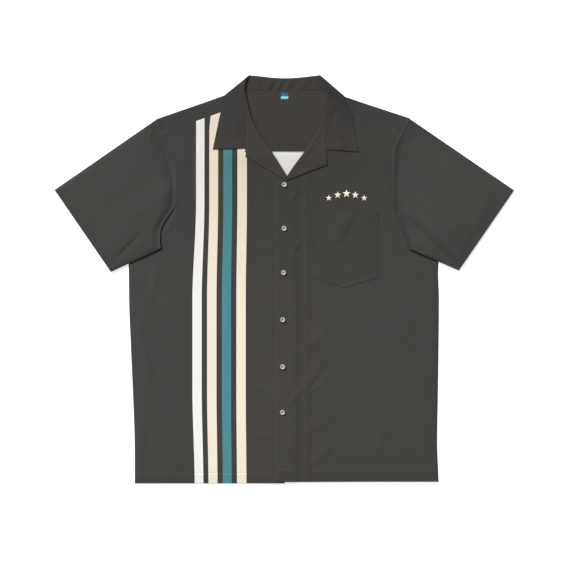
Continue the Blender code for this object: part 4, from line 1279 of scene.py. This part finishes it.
def make_collar(material):
    """The collar: its stand behind the neck, the roll, and the fall round it."""
    roll, neck, edge, turn, order = fine_stations()
    has_stand = (order >= 4.0 - 1e-6) & (order <= len(STATIONS) - 5.0 + 1e-6)
    lying = (1.0 + np.sin(np.radians(turn))) / 2.0

    def fall_height(p):
        relief = crease_relief(p[:, 0], p[:, 1], COLLAR_CREASES)
        return mix(SHOWN_COLLAR_WALL / 2.0, collar_front(p) + TURN_OVER_LIFT + relief, lying)

    def stand_height(p):
        return mix(STAND_LEVEL, collar_front(p), lying)

    lift = 1.2 * has_stand * smooth((order - 3.5) / 1.5) * smooth((len(STATIONS) - 4.5 - order) / 1.5)
    fall_top = fall_height(roll) + lift * lying
    stand_rise = 0.5 * (1.0 - lying)
    stand_top = stand_height(roll) + stand_rise
    middle = (fall_top + stand_top) / 2.0
    radius = np.maximum(np.abs(fall_top - stand_top) / 2.0, 0.9)
    to_neck = np.maximum(np.linalg.norm(neck - roll, axis=1), radius)
    to_edge = np.linalg.norm(edge - roll, axis=1)
    fall_radius = np.where(has_stand, radius, 0.3)
    fall_middle = np.where(has_stand, middle, fall_top - 0.3)
    angles = np.radians([15.0, 30.0, 45.0, 60.0, 75.0])

    def stand_surface(p, t):
        ripple = stand_ripple(p[:, 0], t) * (1.0 - lying)
        return stand_height(p) + stand_rise * smooth(np.array(t)) + ripple

    def fall_surface(p, t):
        settle = (fall_top - fall_height(roll)) * smooth(1.0 - t * to_edge / 16.0)
        belly = 0.35 * smooth(np.array(4.0 * t * (1.0 - t))) * lying
        return fall_height(p) + (settle + belly) * np.where(lying < 0.999, lying, 1.0)

    near = roll + (neck - roll) * (radius / to_neck)[:, None]
    rows = plan_rows(neck, near, np.linspace(0.0, 1.0, 11), stand_surface)
    for a in angles[::-1]:
        rise = middle + (stand_top - middle) * math.sin(a)
        rows += plan_rows(roll, neck, [radius * (1.0 - math.cos(a)) / to_neck], lambda p, t: rise)
    stand_rows = len(rows)
    rows.append(stacked(roll[:, 0], roll[:, 1], fall_middle))
    for a in angles:
        rise = fall_middle + (fall_top - fall_middle) * math.sin(a)
        rows += plan_rows(roll, edge, [fall_radius * (1.0 - math.cos(a)) / to_edge], lambda p, t: rise)
    near = roll + (edge - roll) * (fall_radius / to_edge)[:, None]
    shares = np.concatenate([np.linspace(0.0, 0.9, 14), [0.94, 0.97, 1.0]])
    rows += plan_rows(near, edge, shares, fall_surface)
    points = np.array(rows)
    kept = np.ones((points.shape[0] - 1, points.shape[1] - 1), bool)
    kept[:stand_rows] = (has_stand[:-1] & has_stand[1:])[None, :]
    return cloth_piece("collar", points, material, SHOWN_COLLAR_WALL, 0.0, kept=kept)


def stand_ripple(x, t):
    """Soft upright waves of the collar's stand."""
    x = x - 9.0 * (t - 0.5) - 4.0
    ripple = sum(height * swell(x - place, reach) for place, reach, height in STAND_WAVES)
    return 0.6 * ripple * math.sin(math.pi * min(1.0, 0.15 + 0.85 * t))


def lapel_top(side, x, y):
    """Top surface of a lapel."""
    low = front_low(x, y) if side < 0 else over_front_low(x, y) + 0.1
    sprung = 0.35 * smooth((238.0 - y) / 24.0)
    return low + TURN_OVER_LIFT + SHOWN_COLLAR_WALL + sprung + crease_relief(x, y, LAPEL_CREASES)


def make_lapel(side, name, table, raised, material):
    """One lapel, rolled over from the front edge and open at the gorge."""
    roll_edge, outer_edge = ("right", "left") if side < 0 else ("left", "right")
    fractions = edge_columns(48.0, 3.0)
    x, y = panel_plan(table, fractions, 2.5, sharp=True)
    width = np.hypot(x[:, -1:] - x[:, :1], y[:, -1:] - y[:, :1])
    u = fractions[None, :]
    from_roll = (1.0 - u) * width if side < 0 else u * width
    z = lapel_top(side, x, y) + raised * smooth(1.0 - from_roll / 12.0)
    z = z + 0.15 * np.sin(np.pi * u) * np.sin(y / 13.0)
    points = turn_down(stacked(x, y, z), roll_edge, 1.2, 2.9, 0.9)
    gorge = turned_left(points, outer_edge)[:, 0, 1] > 240.0
    drop = np.where(gorge, 0.45, TURN_OVER_LIFT + SHOWN_COLLAR_WALL - WALL - 0.1 + 0.5)
    points = turn_down(points, outer_edge, 0.6, drop, np.where(gorge, -2.0, 0.3))
    points = turn_down(points, "bottom", 0.6, 1.2, 0.3)
    return cloth_piece(name, points, material, THIN_WALL)


def make_lapels(material):
    right = make_lapel(-1, "lapel_right", LAPEL_RIGHT_ROWS, 0.5, material)
    return right, make_lapel(1, "lapel_left", LAPEL_LEFT_ROWS, 0.6, material)


def sleeve_curve(sleeve):
    """The armhole as a smooth plan curve."""
    return hermite(sleeve.armhole, [12] * (len(sleeve.armhole) - 1))


def sleeve_run(sleeve):
    """Length of the sleeve's top fold."""
    return distance(sleeve.armhole[0], sleeve.cuff_top)


def sleeve_plan(sleeve, curve, s, v):
    """Plan points of a sleeve: s runs from the armhole to the cuff, v from the top fold down."""
    position = np.clip(v, 0.0, 1.0) * (len(curve) - 1)
    index = np.arange(len(curve))
    arm_x, arm_y = np.interp(position, index, curve[:, 0]), np.interp(position, index, curve[:, 1])
    cuff_x = mix(sleeve.cuff_top.x, sleeve.cuff_bottom.x, v)
    cuff_y = mix(sleeve.cuff_top.y, sleeve.cuff_bottom.y, v)
    return mix(arm_x, cuff_x, s), mix(arm_y, cuff_y, s)


def corner_cover(sleeve, x, y):
    """1 where the sleeve lies over the body's underarm corner, 0 well outside it."""
    outer, inner = sleeve.corner
    run = distance(outer, inner)
    side = (x - outer.x) * -sleeve.side
    top = (side * (inner.y - outer.y) - (y - outer.y) * abs(inner.x - outer.x)) / run
    return smooth((np.minimum(side, top) + CORNER_RAMP + CORNER_MARGIN) / CORNER_RAMP)


def sleeve_low(sleeve, x, y):
    """The sleeve's underside: on the floor outside, on the body's underarm corner inside."""
    stand_off = smooth((96.0 - y) / 36.0) * smooth((306.0 - np.abs(x)) / 50.0)
    raised = WALL + 0.25 + (1.7 if sleeve.side < 0 else 3.0) * stand_off
    return corner_cover(sleeve, x, y) * (front_low(x, y) + raised)


def sleeve_relief(sleeve, s, v, x, y):
    """Creases, the hem's band and its row of stitches on the sleeve's upper side."""
    run = sleeve_run(sleeve)
    from_cuff = (1.0 - s) * run
    relief = crease_relief(x, y, sleeve.creases)
    relief = relief + 0.2 * smooth((sleeve.hem_width + 1.5 - from_cuff) / 3.0)
    relief = relief - 0.2 * swell(from_cuff - sleeve.hem_width, 2.4)
    relief = relief + 0.07 * pucker(v * 190.0) * swell(from_cuff - sleeve.hem_width, 9.0)
    sewn_here = smooth((sleeve.level_to + 0.06 - v) / 0.08)
    distances, rises = zip(*sleeve.seam)
    low_down = smooth((y - 145.0) / 45.0) if sleeve.side < 0 else 1.0
    relief = relief + np.interp(s * run, distances, rises) * sewn_here * low_down
    return relief + 0.2 * pucker(v * 81.0) * smooth(1.0 - s * run / 14.0) * sewn_here


def sleeve_top(sleeve, s, v, x, y):
    """The sleeve's upper side: hollow, creased, and level with the body at the armhole seam."""
    low = sleeve_low(sleeve, x, y)
    covered = corner_cover(sleeve, x, y)
    beside_front = (front_low(x, y) - LAYER) * (1.0 - covered)
    arch = np.sin(np.pi * np.clip(v, 0.0, 1.0)) ** 0.5
    relief = sleeve_relief(sleeve, s, v, x, y) * smooth(arch * 4.0)
    away = SLEEVE_HOLLOW * arch * (1.0 - 0.55 * smooth((s - 0.84) / 0.16)) + relief + slack(x * 0.7, y * 0.7)
    reach = mix(0.17, 0.075, smooth((y - 140.0) / 44.0)) if sleeve.side < 0 else 0.17
    height = mix(beside_front, away, smooth(s / reach)) + relief * smooth(1.0 - s / reach)
    flush = 1.5 * covered * smooth(1.0 - s / 0.08) * smooth((sleeve.level_to + 0.1 - v) / 0.1)
    return low + LAYER + WALL - flush + np.maximum(height, -0.9 * smooth(s / 0.1))


def sleeve_section(sleeve, curve, s, values):
    """One closed ring of the flattened tube: over the top, round the lower fold and back below."""
    ends = sleeve_plan(sleeve, curve, s, np.array([0.0, 1.0]))
    length = math.hypot(ends[0][1] - ends[0][0], ends[1][1] - ends[1][0])
    run = sleeve_run(sleeve)
    from_armhole = s * run
    angles = np.radians([0.0, 18.0, 36.0, 54.0, 72.0, 90.0])

    def section(v):
        x, y = sleeve_plan(sleeve, curve, s, v)
        low = sleeve_low(sleeve, x, y)
        top = sleeve_top(sleeve, s, v, x, y)
        closed = smooth((v - sleeve.level_to) / 0.05)
        bend = math.sqrt(max(0.0, 1.0 - (1.0 - min(from_armhole / 2.2, 1.0)) ** 2))
        shut = mix(1.0, max(bend, 0.02), closed)
        shut *= 1.0 - 0.45 * (1.0 - min((run - from_armhole) / 1.8, 1.0)) ** 2
        tucked = 0.3 * (1.0 - min(from_armhole / 0.5, 1.0)) ** 2 * (1.0 - closed)
        middle = (top + low) / 2.0
        return x, y, middle + (low - middle) * shut, middle + (top - middle) * shut - tucked

    def half_fold(v_edge, inward):
        """Upper and lower half of a round fold at one edge, from its outermost point inward."""
        low, top = section(np.array([v_edge]))[2:]
        radius = (top[0] - low[0]) / 2.0
        inset = FOLD_SPREAD * radius * (1.0 - np.cos(angles))
        x, y = sleeve_plan(sleeve, curve, s, v_edge + inward * inset / length)
        middle, rise = (low[0] + top[0]) / 2.0, radius * np.sin(angles)
        return stacked(x, y, middle + rise), stacked(x, y, middle - rise)

    upper_top, upper_under = half_fold(0.0, 1.0)
    lower_top, lower_under = half_fold(1.0, -1.0)
    x, y, low, top = section(values)
    ring = [upper_top, stacked(x, y, top), lower_top[::-1]]
    ring += [lower_under[1:], stacked(x, y, low)[::-1], upper_under[::-1][:-1]]
    return np.concatenate(ring)


def make_sleeve(sleeve, material):
    """One sleeve, a flattened tube of rings from the armhole to the cuff."""
    curve = sleeve_curve(sleeve)
    run = sleeve_run(sleeve)
    places = [0.0, 0.12, 0.35, 0.7, 1.2, 2.2, 3.6, 5.5, 7.5, 9.5, 11.5, 14.0, 17.0, 20.0]
    places += [*stepped(22.5, run - 3.0, SLEEVE_CELL, hem_cluster(run - sleeve.hem_width))]
    places += [run - 1.6, run - 0.7, run]
    values = np.linspace(0.022, 0.978, 100)
    rings = np.array([sleeve_section(sleeve, curve, place / run, values) for place in places])
    return cloth_piece(sleeve.name, rings, material, THIN_WALL, -sleeve.side, closed=True)


def pocket_bottom(x):
    """The pocket's pointed lower edge."""
    half = (POCKET["right"] - POCKET["left"]) / 2.0
    return mix(POCKET["point"], POCKET["side_bottom"], np.abs(x - POCKET["left"] - half) / half)


def pocket_top(x, y):
    """Top surface of the pocket, with its hem and drawn down along its inner row of stitches."""
    inset = pocket_inset(x, y)
    hem = 0.25 * smooth((y - POCKET["stitch"] + 1.1) / 2.5) - 0.25 * swell(y - POCKET["stitch"], 2.2)
    sewn = smooth(inset / 7.0)
    belly = POCKET["belly"] * smooth(inset / 26.0)
    row = np.where(x > 0.5 * (POCKET["left"] + POCKET["right"]), 9.4, 7.6)
    drawn = 0.08 * swell(inset - 3.4, 3.4) - 0.3 * swell(inset - row, 2.6)
    pressed = -0.22 * smooth((x - POCKET["right"] + 9.0) / 8.0)
    raised = 0.45 + belly + hem + crease_relief(x, y, [POCKET_FOLD]) * sewn + drawn + pressed
    return left_top(x, y) + raised + 0.06 * pucker(x + y) * (1.0 - sewn)


def pocket_inset(x, y):
    """Distance in from the pocket's sewn edges."""
    sides = np.minimum(x - POCKET["left"], POCKET["right"] - x)
    slope = math.atan2(POCKET["side_bottom"] - POCKET["point"], (POCKET["right"] - POCKET["left"]) / 2.0)
    return np.maximum(np.minimum(sides, (y - pocket_bottom(x)) * math.cos(slope)), 0.0)


def make_pocket(material):
    width = POCKET["right"] - POCKET["left"]
    height = POCKET["top"] - POCKET["side_bottom"]
    near = [0.0, 0.7, 1.6, 2.4, 3.4, 5.0, 6.4, 7.6, 8.8, 10.4]
    far = [width - v for v in reversed(near)]
    across = np.array([*near, *stepped(13.0, width - 13.0, 3.5), *far]) / width
    below_top = (30.0, 28.0, 26.7, 25.2, 20.0, 14.0, 8.0, 4.0, 2.0, 0.9, 0.0)
    rows = np.array([*near, *stepped(13.0, height - 34.0, 3.5), *(height - v for v in below_top)])
    x = np.broadcast_to(POCKET["left"] + across[None, :] * width, (len(rows), len(across))).copy()
    low = pocket_bottom(x)
    y = low + (rows[:, None] / height) * (POCKET["top"] - low)
    points = stacked(x, y, pocket_top(x, y))
    for edge in ("left", "right", "bottom", "top"):
        points = turn_down(points, edge, 0.4, 0.42, 0.2, 3.6)
    return cloth_piece("pocket", points, material, 0.5)


def make_label(material):
    xs = np.linspace(LABEL["left"] + 0.9, LABEL["right"] - 1.0, 12)
    ys = np.linspace(LABEL["bottom"] + 0.8, LABEL["top"] - 0.8, 12)
    x, y = np.meshgrid(xs, ys)
    middle = (LABEL["left"] + LABEL["right"]) / 2.0
    points = stacked(x, y, inner_top(x, y) + 0.55 + 0.25 * smooth(1.0 - np.abs(x - middle) / 8.0))
    for edge in ("left", "right", "bottom", "top"):
        points = turn_down(points, edge, 0.35, 0.5, 0.1)
    return cloth_piece("label", points, material, 0.4, slot="label_weave")


# ---- Buttons ----

# A button's outline, from the middle of its top round to the middle of its underside: radius and height.
BUTTON_PROFILE = [
    (0.0, 1.0), (2.2, 1.0), (2.7, 1.15), (3.1, 1.7), (3.6, 2.0), (4.1, 1.95), (4.5, 1.65),
    (4.65, 1.2), (4.6, 0.8), (4.3, 0.35), (3.8, 0.1), (3.0, 0.0), (0.0, 0.0),
]
BUTTON_TURNS = (12.0, -7.0, 4.0, -15.0, 9.0, -3.0)
HOLE_OFFSET = 1.15
HOLE_RADIUS = 0.75


def mesh_of(shape, name):
    mesh = bpy.data.meshes.new(name)
    shape.to_mesh(mesh)
    shape.free()
    return mesh


def button_mesh(material):
    """A turned disc with a raised rim and four thread holes."""
    shape = bmesh.new()
    profile = [shape.verts.new((radius * MM, 0.0, height * MM)) for radius, height in BUTTON_PROFILE]
    for a, b in zip(profile, profile[1:]):
        shape.edges.new((a, b))
    disc = linked("button_blank", mesh_of(shape, "button_profile"))
    turn = disc.modifiers.new("turn", "SCREW")
    turn.steps = 48
    turn.render_steps = 48
    turn.use_merge_vertices = True
    turn.merge_threshold = 0.00005
    turn.use_normal_calculate = True
    holes = bmesh.new()
    round_hole = {"segments": 16, "radius1": HOLE_RADIUS * MM, "radius2": HOLE_RADIUS * MM, "depth": 8.0 * MM}
    for across in (-HOLE_OFFSET, HOLE_OFFSET):
        for up in (-HOLE_OFFSET, HOLE_OFFSET):
            made = bmesh.ops.create_cone(holes, cap_ends=True, **round_hole)
            bmesh.ops.translate(holes, vec=(across * MM, up * MM, 0.0), verts=made["verts"])
    cutter = linked("button_cutter", mesh_of(holes, "button_holes"))
    cut = disc.modifiers.new("holes", "BOOLEAN")
    cut.operation = "DIFFERENCE"
    cut.object = cutter
    evaluated = disc.evaluated_get(bpy.context.evaluated_depsgraph_get())
    button = bpy.data.meshes.new_from_object(evaluated)
    button.name = "button"
    button.materials.clear()
    button.materials.append(material)
    button.shade_smooth()
    button.set_sharp_from_angle(angle=math.radians(40.0))
    bpy.data.objects.remove(disc)
    bpy.data.objects.remove(cutter)
    return button


def button_seat(place):
    """Height at which a button rests on the front."""
    around = np.array([-4.0, 0.0, 4.0])
    x, y = np.meshgrid(place.x + around, place.y + around)
    return float(left_top(x, y).max()) + 0.55


def button_threads(place, seat, turned):
    """Three threads through each pair of a button's holes."""
    runs = []
    for across in (-HOLE_OFFSET, HOLE_OFFSET):
        for shift in (-0.3, 0.0, 0.3):
            px = across + shift
            ends = []
            for py in (-HOLE_OFFSET - 0.25, HOLE_OFFSET + 0.25):
                wx = place.x + px * math.cos(turned) - py * math.sin(turned)
                wy = place.y + px * math.sin(turned) + py * math.cos(turned)
                ends.append((wx, wy, seat + 1.2))
            runs.append(ends)
    return runs


def make_buttons(material, thread):
    """All buttons with their threads."""
    mesh = button_mesh(material)
    for number, (place, turn) in enumerate(zip(BUTTONS, BUTTON_TURNS), start=1):
        seat = button_seat(place)
        turned = math.radians(turn)
        button = linked(f"button_{number}_disc", mesh)
        button.location = (place.x * MM, place.y * MM, seat * MM)
        button.rotation_euler = (0.0, 0.0, turned)
        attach(button, "root")
        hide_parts(f"button_{number}")
        runs = button_threads(place, seat, turned)
        sew(f"button_{number}_thread", runs, thread, length=2.6, gap=0.1, radius=0.2)


def cord_mesh(name, loops, radius, wave):
    """A sewn cord along closed loops of points (mm), its thickness waving from point to point."""
    sides = 8
    vertices = []
    faces = []
    for loop in loops:
        count = len(loop)
        along = np.roll(loop, -1, axis=0) - np.roll(loop, 1, axis=0)
        along /= np.linalg.norm(along, axis=1)[:, None]
        side = np.stack([along[:, 1], -along[:, 0], np.zeros(count)], axis=-1)
        side /= np.linalg.norm(side, axis=1)[:, None]
        up = np.cross(side, along)
        first = len(vertices)
        for k in range(count):
            size = radius * (1.0 + (wave if k % 2 else -wave))
            for angle in 2.0 * math.pi * np.arange(sides) / sides:
                spoke = side[k] * math.cos(angle) + 0.7 * up[k] * math.sin(angle)
                vertices.append(loop[k] + spoke * size)
        for k in range(count):
            here, after = first + k * sides, first + (k + 1) % count * sides
            for j in range(sides):
                beside = (j + 1) % sides
                faces.append((here + j, after + j, after + beside, here + beside))
    return new_mesh(name, vertices, faces)


def make_buttonholes(thread):
    """The sewn edges of the buttonholes under the buttons."""
    half_run, half_width = 6.0, 1.1
    outline = []
    for up in (1.0, -1.0):
        for a in np.radians(np.linspace(0.0, 180.0, 12)):
            outline.append((up * half_width * math.cos(a), up * (half_run + half_width * math.sin(a))))
        outline += [(-up * half_width, up * y) for y in np.arange(half_run - 0.4, -half_run, -0.4)]
    across, along = np.array(outline).T
    loops = []
    for place in BUTTONS:
        x, y = place.x + across, place.y + along
        loops.append(stacked(x, y, left_top(x, y) + 0.05))
    return link_piece("buttonholes", cord_mesh("buttonholes", loops, 0.42, 0.1), thread)


# ---- Sewing ----


def sleeve_hem_run(sleeve):
    """The row of stitches round a sleeve's hem."""
    s = 1.0 - sleeve.hem_width / sleeve_run(sleeve)
    v = np.linspace(0.02, 0.98, 160)
    x, y = sleeve_plan(sleeve, sleeve_curve(sleeve), s, v)
    return stacked(x, y, sleeve_top(sleeve, s, v, x, y) + 0.05)


def level_run(left, right, y, height):
    """The points of a level row of stitches."""
    return on_surface([Point(left, y), Point(right, y)], height)


def pocket_runs():
    """Two rows round the pocket and one along its hem."""
    left, right, top = POCKET["left"], POCKET["right"], POCKET["top"]
    runs = []
    for inset in (1.6, 7.6):
        foot = POCKET["side_bottom"] + inset * 0.85
        path = [Point(left + inset, top - 1.0), Point(left + inset, foot)]
        path.append(Point((left + right) / 2.0, POCKET["point"] + inset * 1.05))
        path += [Point(right - inset, foot), Point(right - inset, top - 1.0)]
        runs.append(on_surface(path, pocket_top))
    return runs + [level_run(left + 1.5, right - 1.5, POCKET["stitch"], pocket_top)]


def sew_all(thread):
    """Every visible row of stitches, each a piece of its own."""
    sewn = {}
    run = level_run(-281.0, -2.0, HEMS[-1]["stitch"], right_top)
    sewn["front_right"] = sew("stitches_hem_right", [run], thread)
    run = level_run(PLACKET_EDGE_X + 1.5, 288.0, HEMS[1]["stitch"], left_top)
    sewn["front_left"] = sew("stitches_hem_left", [run], thread)
    for sleeve in (SLEEVE_RIGHT, SLEEVE_LEFT):
        sewn[sleeve.name] = sew(f"stitches_{sleeve.name}", [sleeve_hem_run(sleeve)], thread)
    runs = [level_run(-INNER_YOKE_X + 1, INNER_YOKE_X - 1, y, inner_top) for y in INNER_YOKE_STITCHES]
    sewn["yoke_inner"] = sew("stitches_yoke_inner", runs, thread)
    sewn["pocket"] = sew("stitches_pocket", pocket_runs(), thread)
    return sewn


def bartack(name, x, thread):
    """A short thick bar of close stitches at an upper corner of the pocket."""
    y = POCKET["top"] - 2.6
    runs = []
    for k in np.arange(-3.0, 3.01, 0.42):
        across = np.array([x + k, x + k])
        up = np.array([y + 0.8, y - 0.8])
        runs.append(stacked(across, up, pocket_top(across, up) + 0.1))
    return sew(name, runs, thread, length=1.45, gap=0.1, radius=0.26)


# ---- Embroidered place on the chest: a plain row of stars ----

MOTIF = {"left": 76.0, "right": 160.0, "bottom": 143.0, "top": 175.0}
# Each star's place across and up the motif, as shares of it, and its reach in mm.
STARS = [(0.10, 0.34, 6.2), (0.30, 0.52, 7.2), (0.50, 0.60, 8.2), (0.70, 0.52, 7.2), (0.90, 0.34, 6.2)]
# The rings of a star's dome: share of the way in to its middle, and rise.
STAR_RINGS = ((0.0, -0.1), (0.0, 0.25), (0.1, 0.5), (0.35, 0.62), (0.7, 0.68))


def star_rim(cx, cy, reach):
    """Points round a five-pointed star, six to each of its ten sides."""
    corners = []
    for k in range(10):
        radius = reach if k % 2 == 0 else reach * 0.42
        angle = math.radians(90.0 + 36.0 * k)
        corners.append(Point(cx + radius * math.cos(angle), cy + radius * math.sin(angle)))
    sides = zip(corners, corners[1:] + corners[:1])
    return np.array([mix_points(a, b, t) for a, b in sides for t in np.arange(6) / 6.0])


def make_motif(material):
    """Raised satin-stitched stars, each a dome with ridges along its arms."""
    vertices = []
    faces = []
    for across, up, reach in STARS:
        cx = mix(MOTIF["left"], MOTIF["right"], across)
        cy = mix(MOTIF["bottom"], MOTIF["top"], up)
        rim = star_rim(cx, cy, reach)
        first = len(vertices)
        count = len(rim)
        for inward, rise in STAR_RINGS:
            x, y = mix(rim[:, 0], cx, inward), mix(rim[:, 1], cy, inward)
            vertices += list(stacked(x, y, left_top(x, y) + rise))
        crown = len(vertices)
        vertices.append(np.array([cx, cy, left_top(np.array([cx]), np.array([cy]))[0] + 0.7]))
        for level in range(len(STAR_RINGS) - 1):
            for k in range(count):
                a, b = first + level * count + k, first + level * count + (k + 1) % count
                faces.append((a, b, b + count, a + count))
        last = crown - count
        faces += [(last + k, last + (k + 1) % count, crown) for k in range(count)]
    return link_piece("chest_stars", new_mesh("chest_stars", vertices, faces), material)


# ---- Stage ----

FLOOR_HALF = 6000.0
FLOOR_GAP = 0.2
WORLD_LOOKS = {"Color": (1.0, 1.0, 1.0, 1.0), "Strength": 0.21}
FLOOR_LOOKS = {
    "Base Color": (0.99, 0.99, 0.99, 1.0), "Roughness": 1.0, "Specular IOR Level": 0.0,
    "Emission Color": (1.0, 1.0, 1.0, 1.0), "Emission Strength": 0.5,
}
# Name, energy, angular size in degrees and the direction that the light comes from.
SOFT_LIGHTS = [
    ("key", 4.4, 26.0, (-0.52, 0.70, 0.55)),
    ("overhead", 0.35, 70.0, (-0.05, 0.10, 1.0)),
]
# The camera's lens and sensor in mm, and its place in m.
LENS = 85.0
SENSOR_WIDTH = 36.0
CAMERA_PLACE = (0.00095, -0.0113, 2.562)


def make_floor():
    """A wide, plain and pale floor just below the part."""
    half = FLOOR_HALF
    corners = [(-half, -half, 0.0), (half, -half, 0.0), (half, half, 0.0), (-half, half, 0.0)]
    floor = linked("floor", new_mesh("floor", corners, [(0, 1, 2, 3)]))
    floor.location.z = -FLOOR_GAP * MM
    paper, tree, shader = new_material("floor_paper", FLOOR_LOOKS)
    floor.data.materials.append(paper)


def make_lights():
    """A soft pale world and two wide lamps."""
    world = bpy.data.worlds.new("studio")
    world.use_nodes = True
    set_inputs(world.node_tree.nodes["Background"], WORLD_LOOKS)
    bpy.context.scene.world = world
    for name, energy, spread, towards in SOFT_LIGHTS:
        lamp = bpy.data.lights.new(name, "SUN")
        lamp.energy = energy
        lamp.angle = math.radians(spread)
        light = linked(name, lamp)
        light.rotation_euler = Vector(towards).to_track_quat("Z", "Y").to_euler()


def make_camera():
    lens = bpy.data.cameras.new("camera")
    lens.lens = LENS
    lens.sensor_width = SENSOR_WIDTH
    lens.clip_end = 20.0
    camera = linked("camera", lens)
    camera.location = CAMERA_PLACE
    bpy.context.scene.camera = camera
    bpy.context.scene.view_settings.view_transform = "Standard"


# ---- Assembly ----

cloth = cloth_material("cloth_charcoal", CHARCOAL)
cloth_striped = cloth_material("cloth_charcoal_striped", CHARCOAL, striped=True)
# The collar's cloth is painted darker and carries painted shade at its turn.
cloth_collar_shaded = cloth_material("cloth_collar_shaded", CHARCOAL_COLLAR_SHADED, turn_shade_depth=0.76)
# The lapels' cloth is painted lighter.
cloth_lapel_lit = cloth_material("cloth_lapel_lit", CHARCOAL_LAPEL_LIT)
cloth_inner = cloth_material("cloth_inner_yoke", CHARCOAL_INNER)
cloth_unprinted_shaded = cloth_material("cloth_unprinted_shaded", UNPRINTED_SHADED, mottle=0.03, neck_shade_depth=1.0, warmth=0.0)
label_looks = {"pitch": 0.35, "mottle": 0.1, "sheen": 0.1, "neck_shade_depth": 1.0, "warmth": 0.0}
label_weave = cloth_material("label_satin", LABEL_BLUE, band=LABEL_BAND, **label_looks)
thread_dark = thread_material("thread_charcoal", THREAD_DARK)
thread_cream = thread_material("thread_cream", CREAM_PRINT)
resin = button_material()

back = make_back(cloth, cloth_unprinted_shaded)
front_right, front_left = make_fronts(cloth, cloth_striped)
yoke, yoke_inner = make_yokes(cloth, cloth_inner)
collar = make_collar(cloth_collar_shaded)
lapel_right, lapel_left = make_lapels(cloth_lapel_lit)
sleeve_right = make_sleeve(SLEEVE_RIGHT, cloth)
sleeve_left = make_sleeve(SLEEVE_LEFT, cloth)
pocket = make_pocket(cloth)
label = make_label(label_weave)
make_buttons(resin, thread_dark)
make_buttonholes(thread_dark)
stitches = sew_all(thread_dark)
bartack("bartack_left", POCKET["left"] + 4.6, thread_dark)
bartack("bartack_right", POCKET["right"] - 4.6, thread_dark)
make_motif(thread_cream)

make_floor()
make_lights()
make_camera()
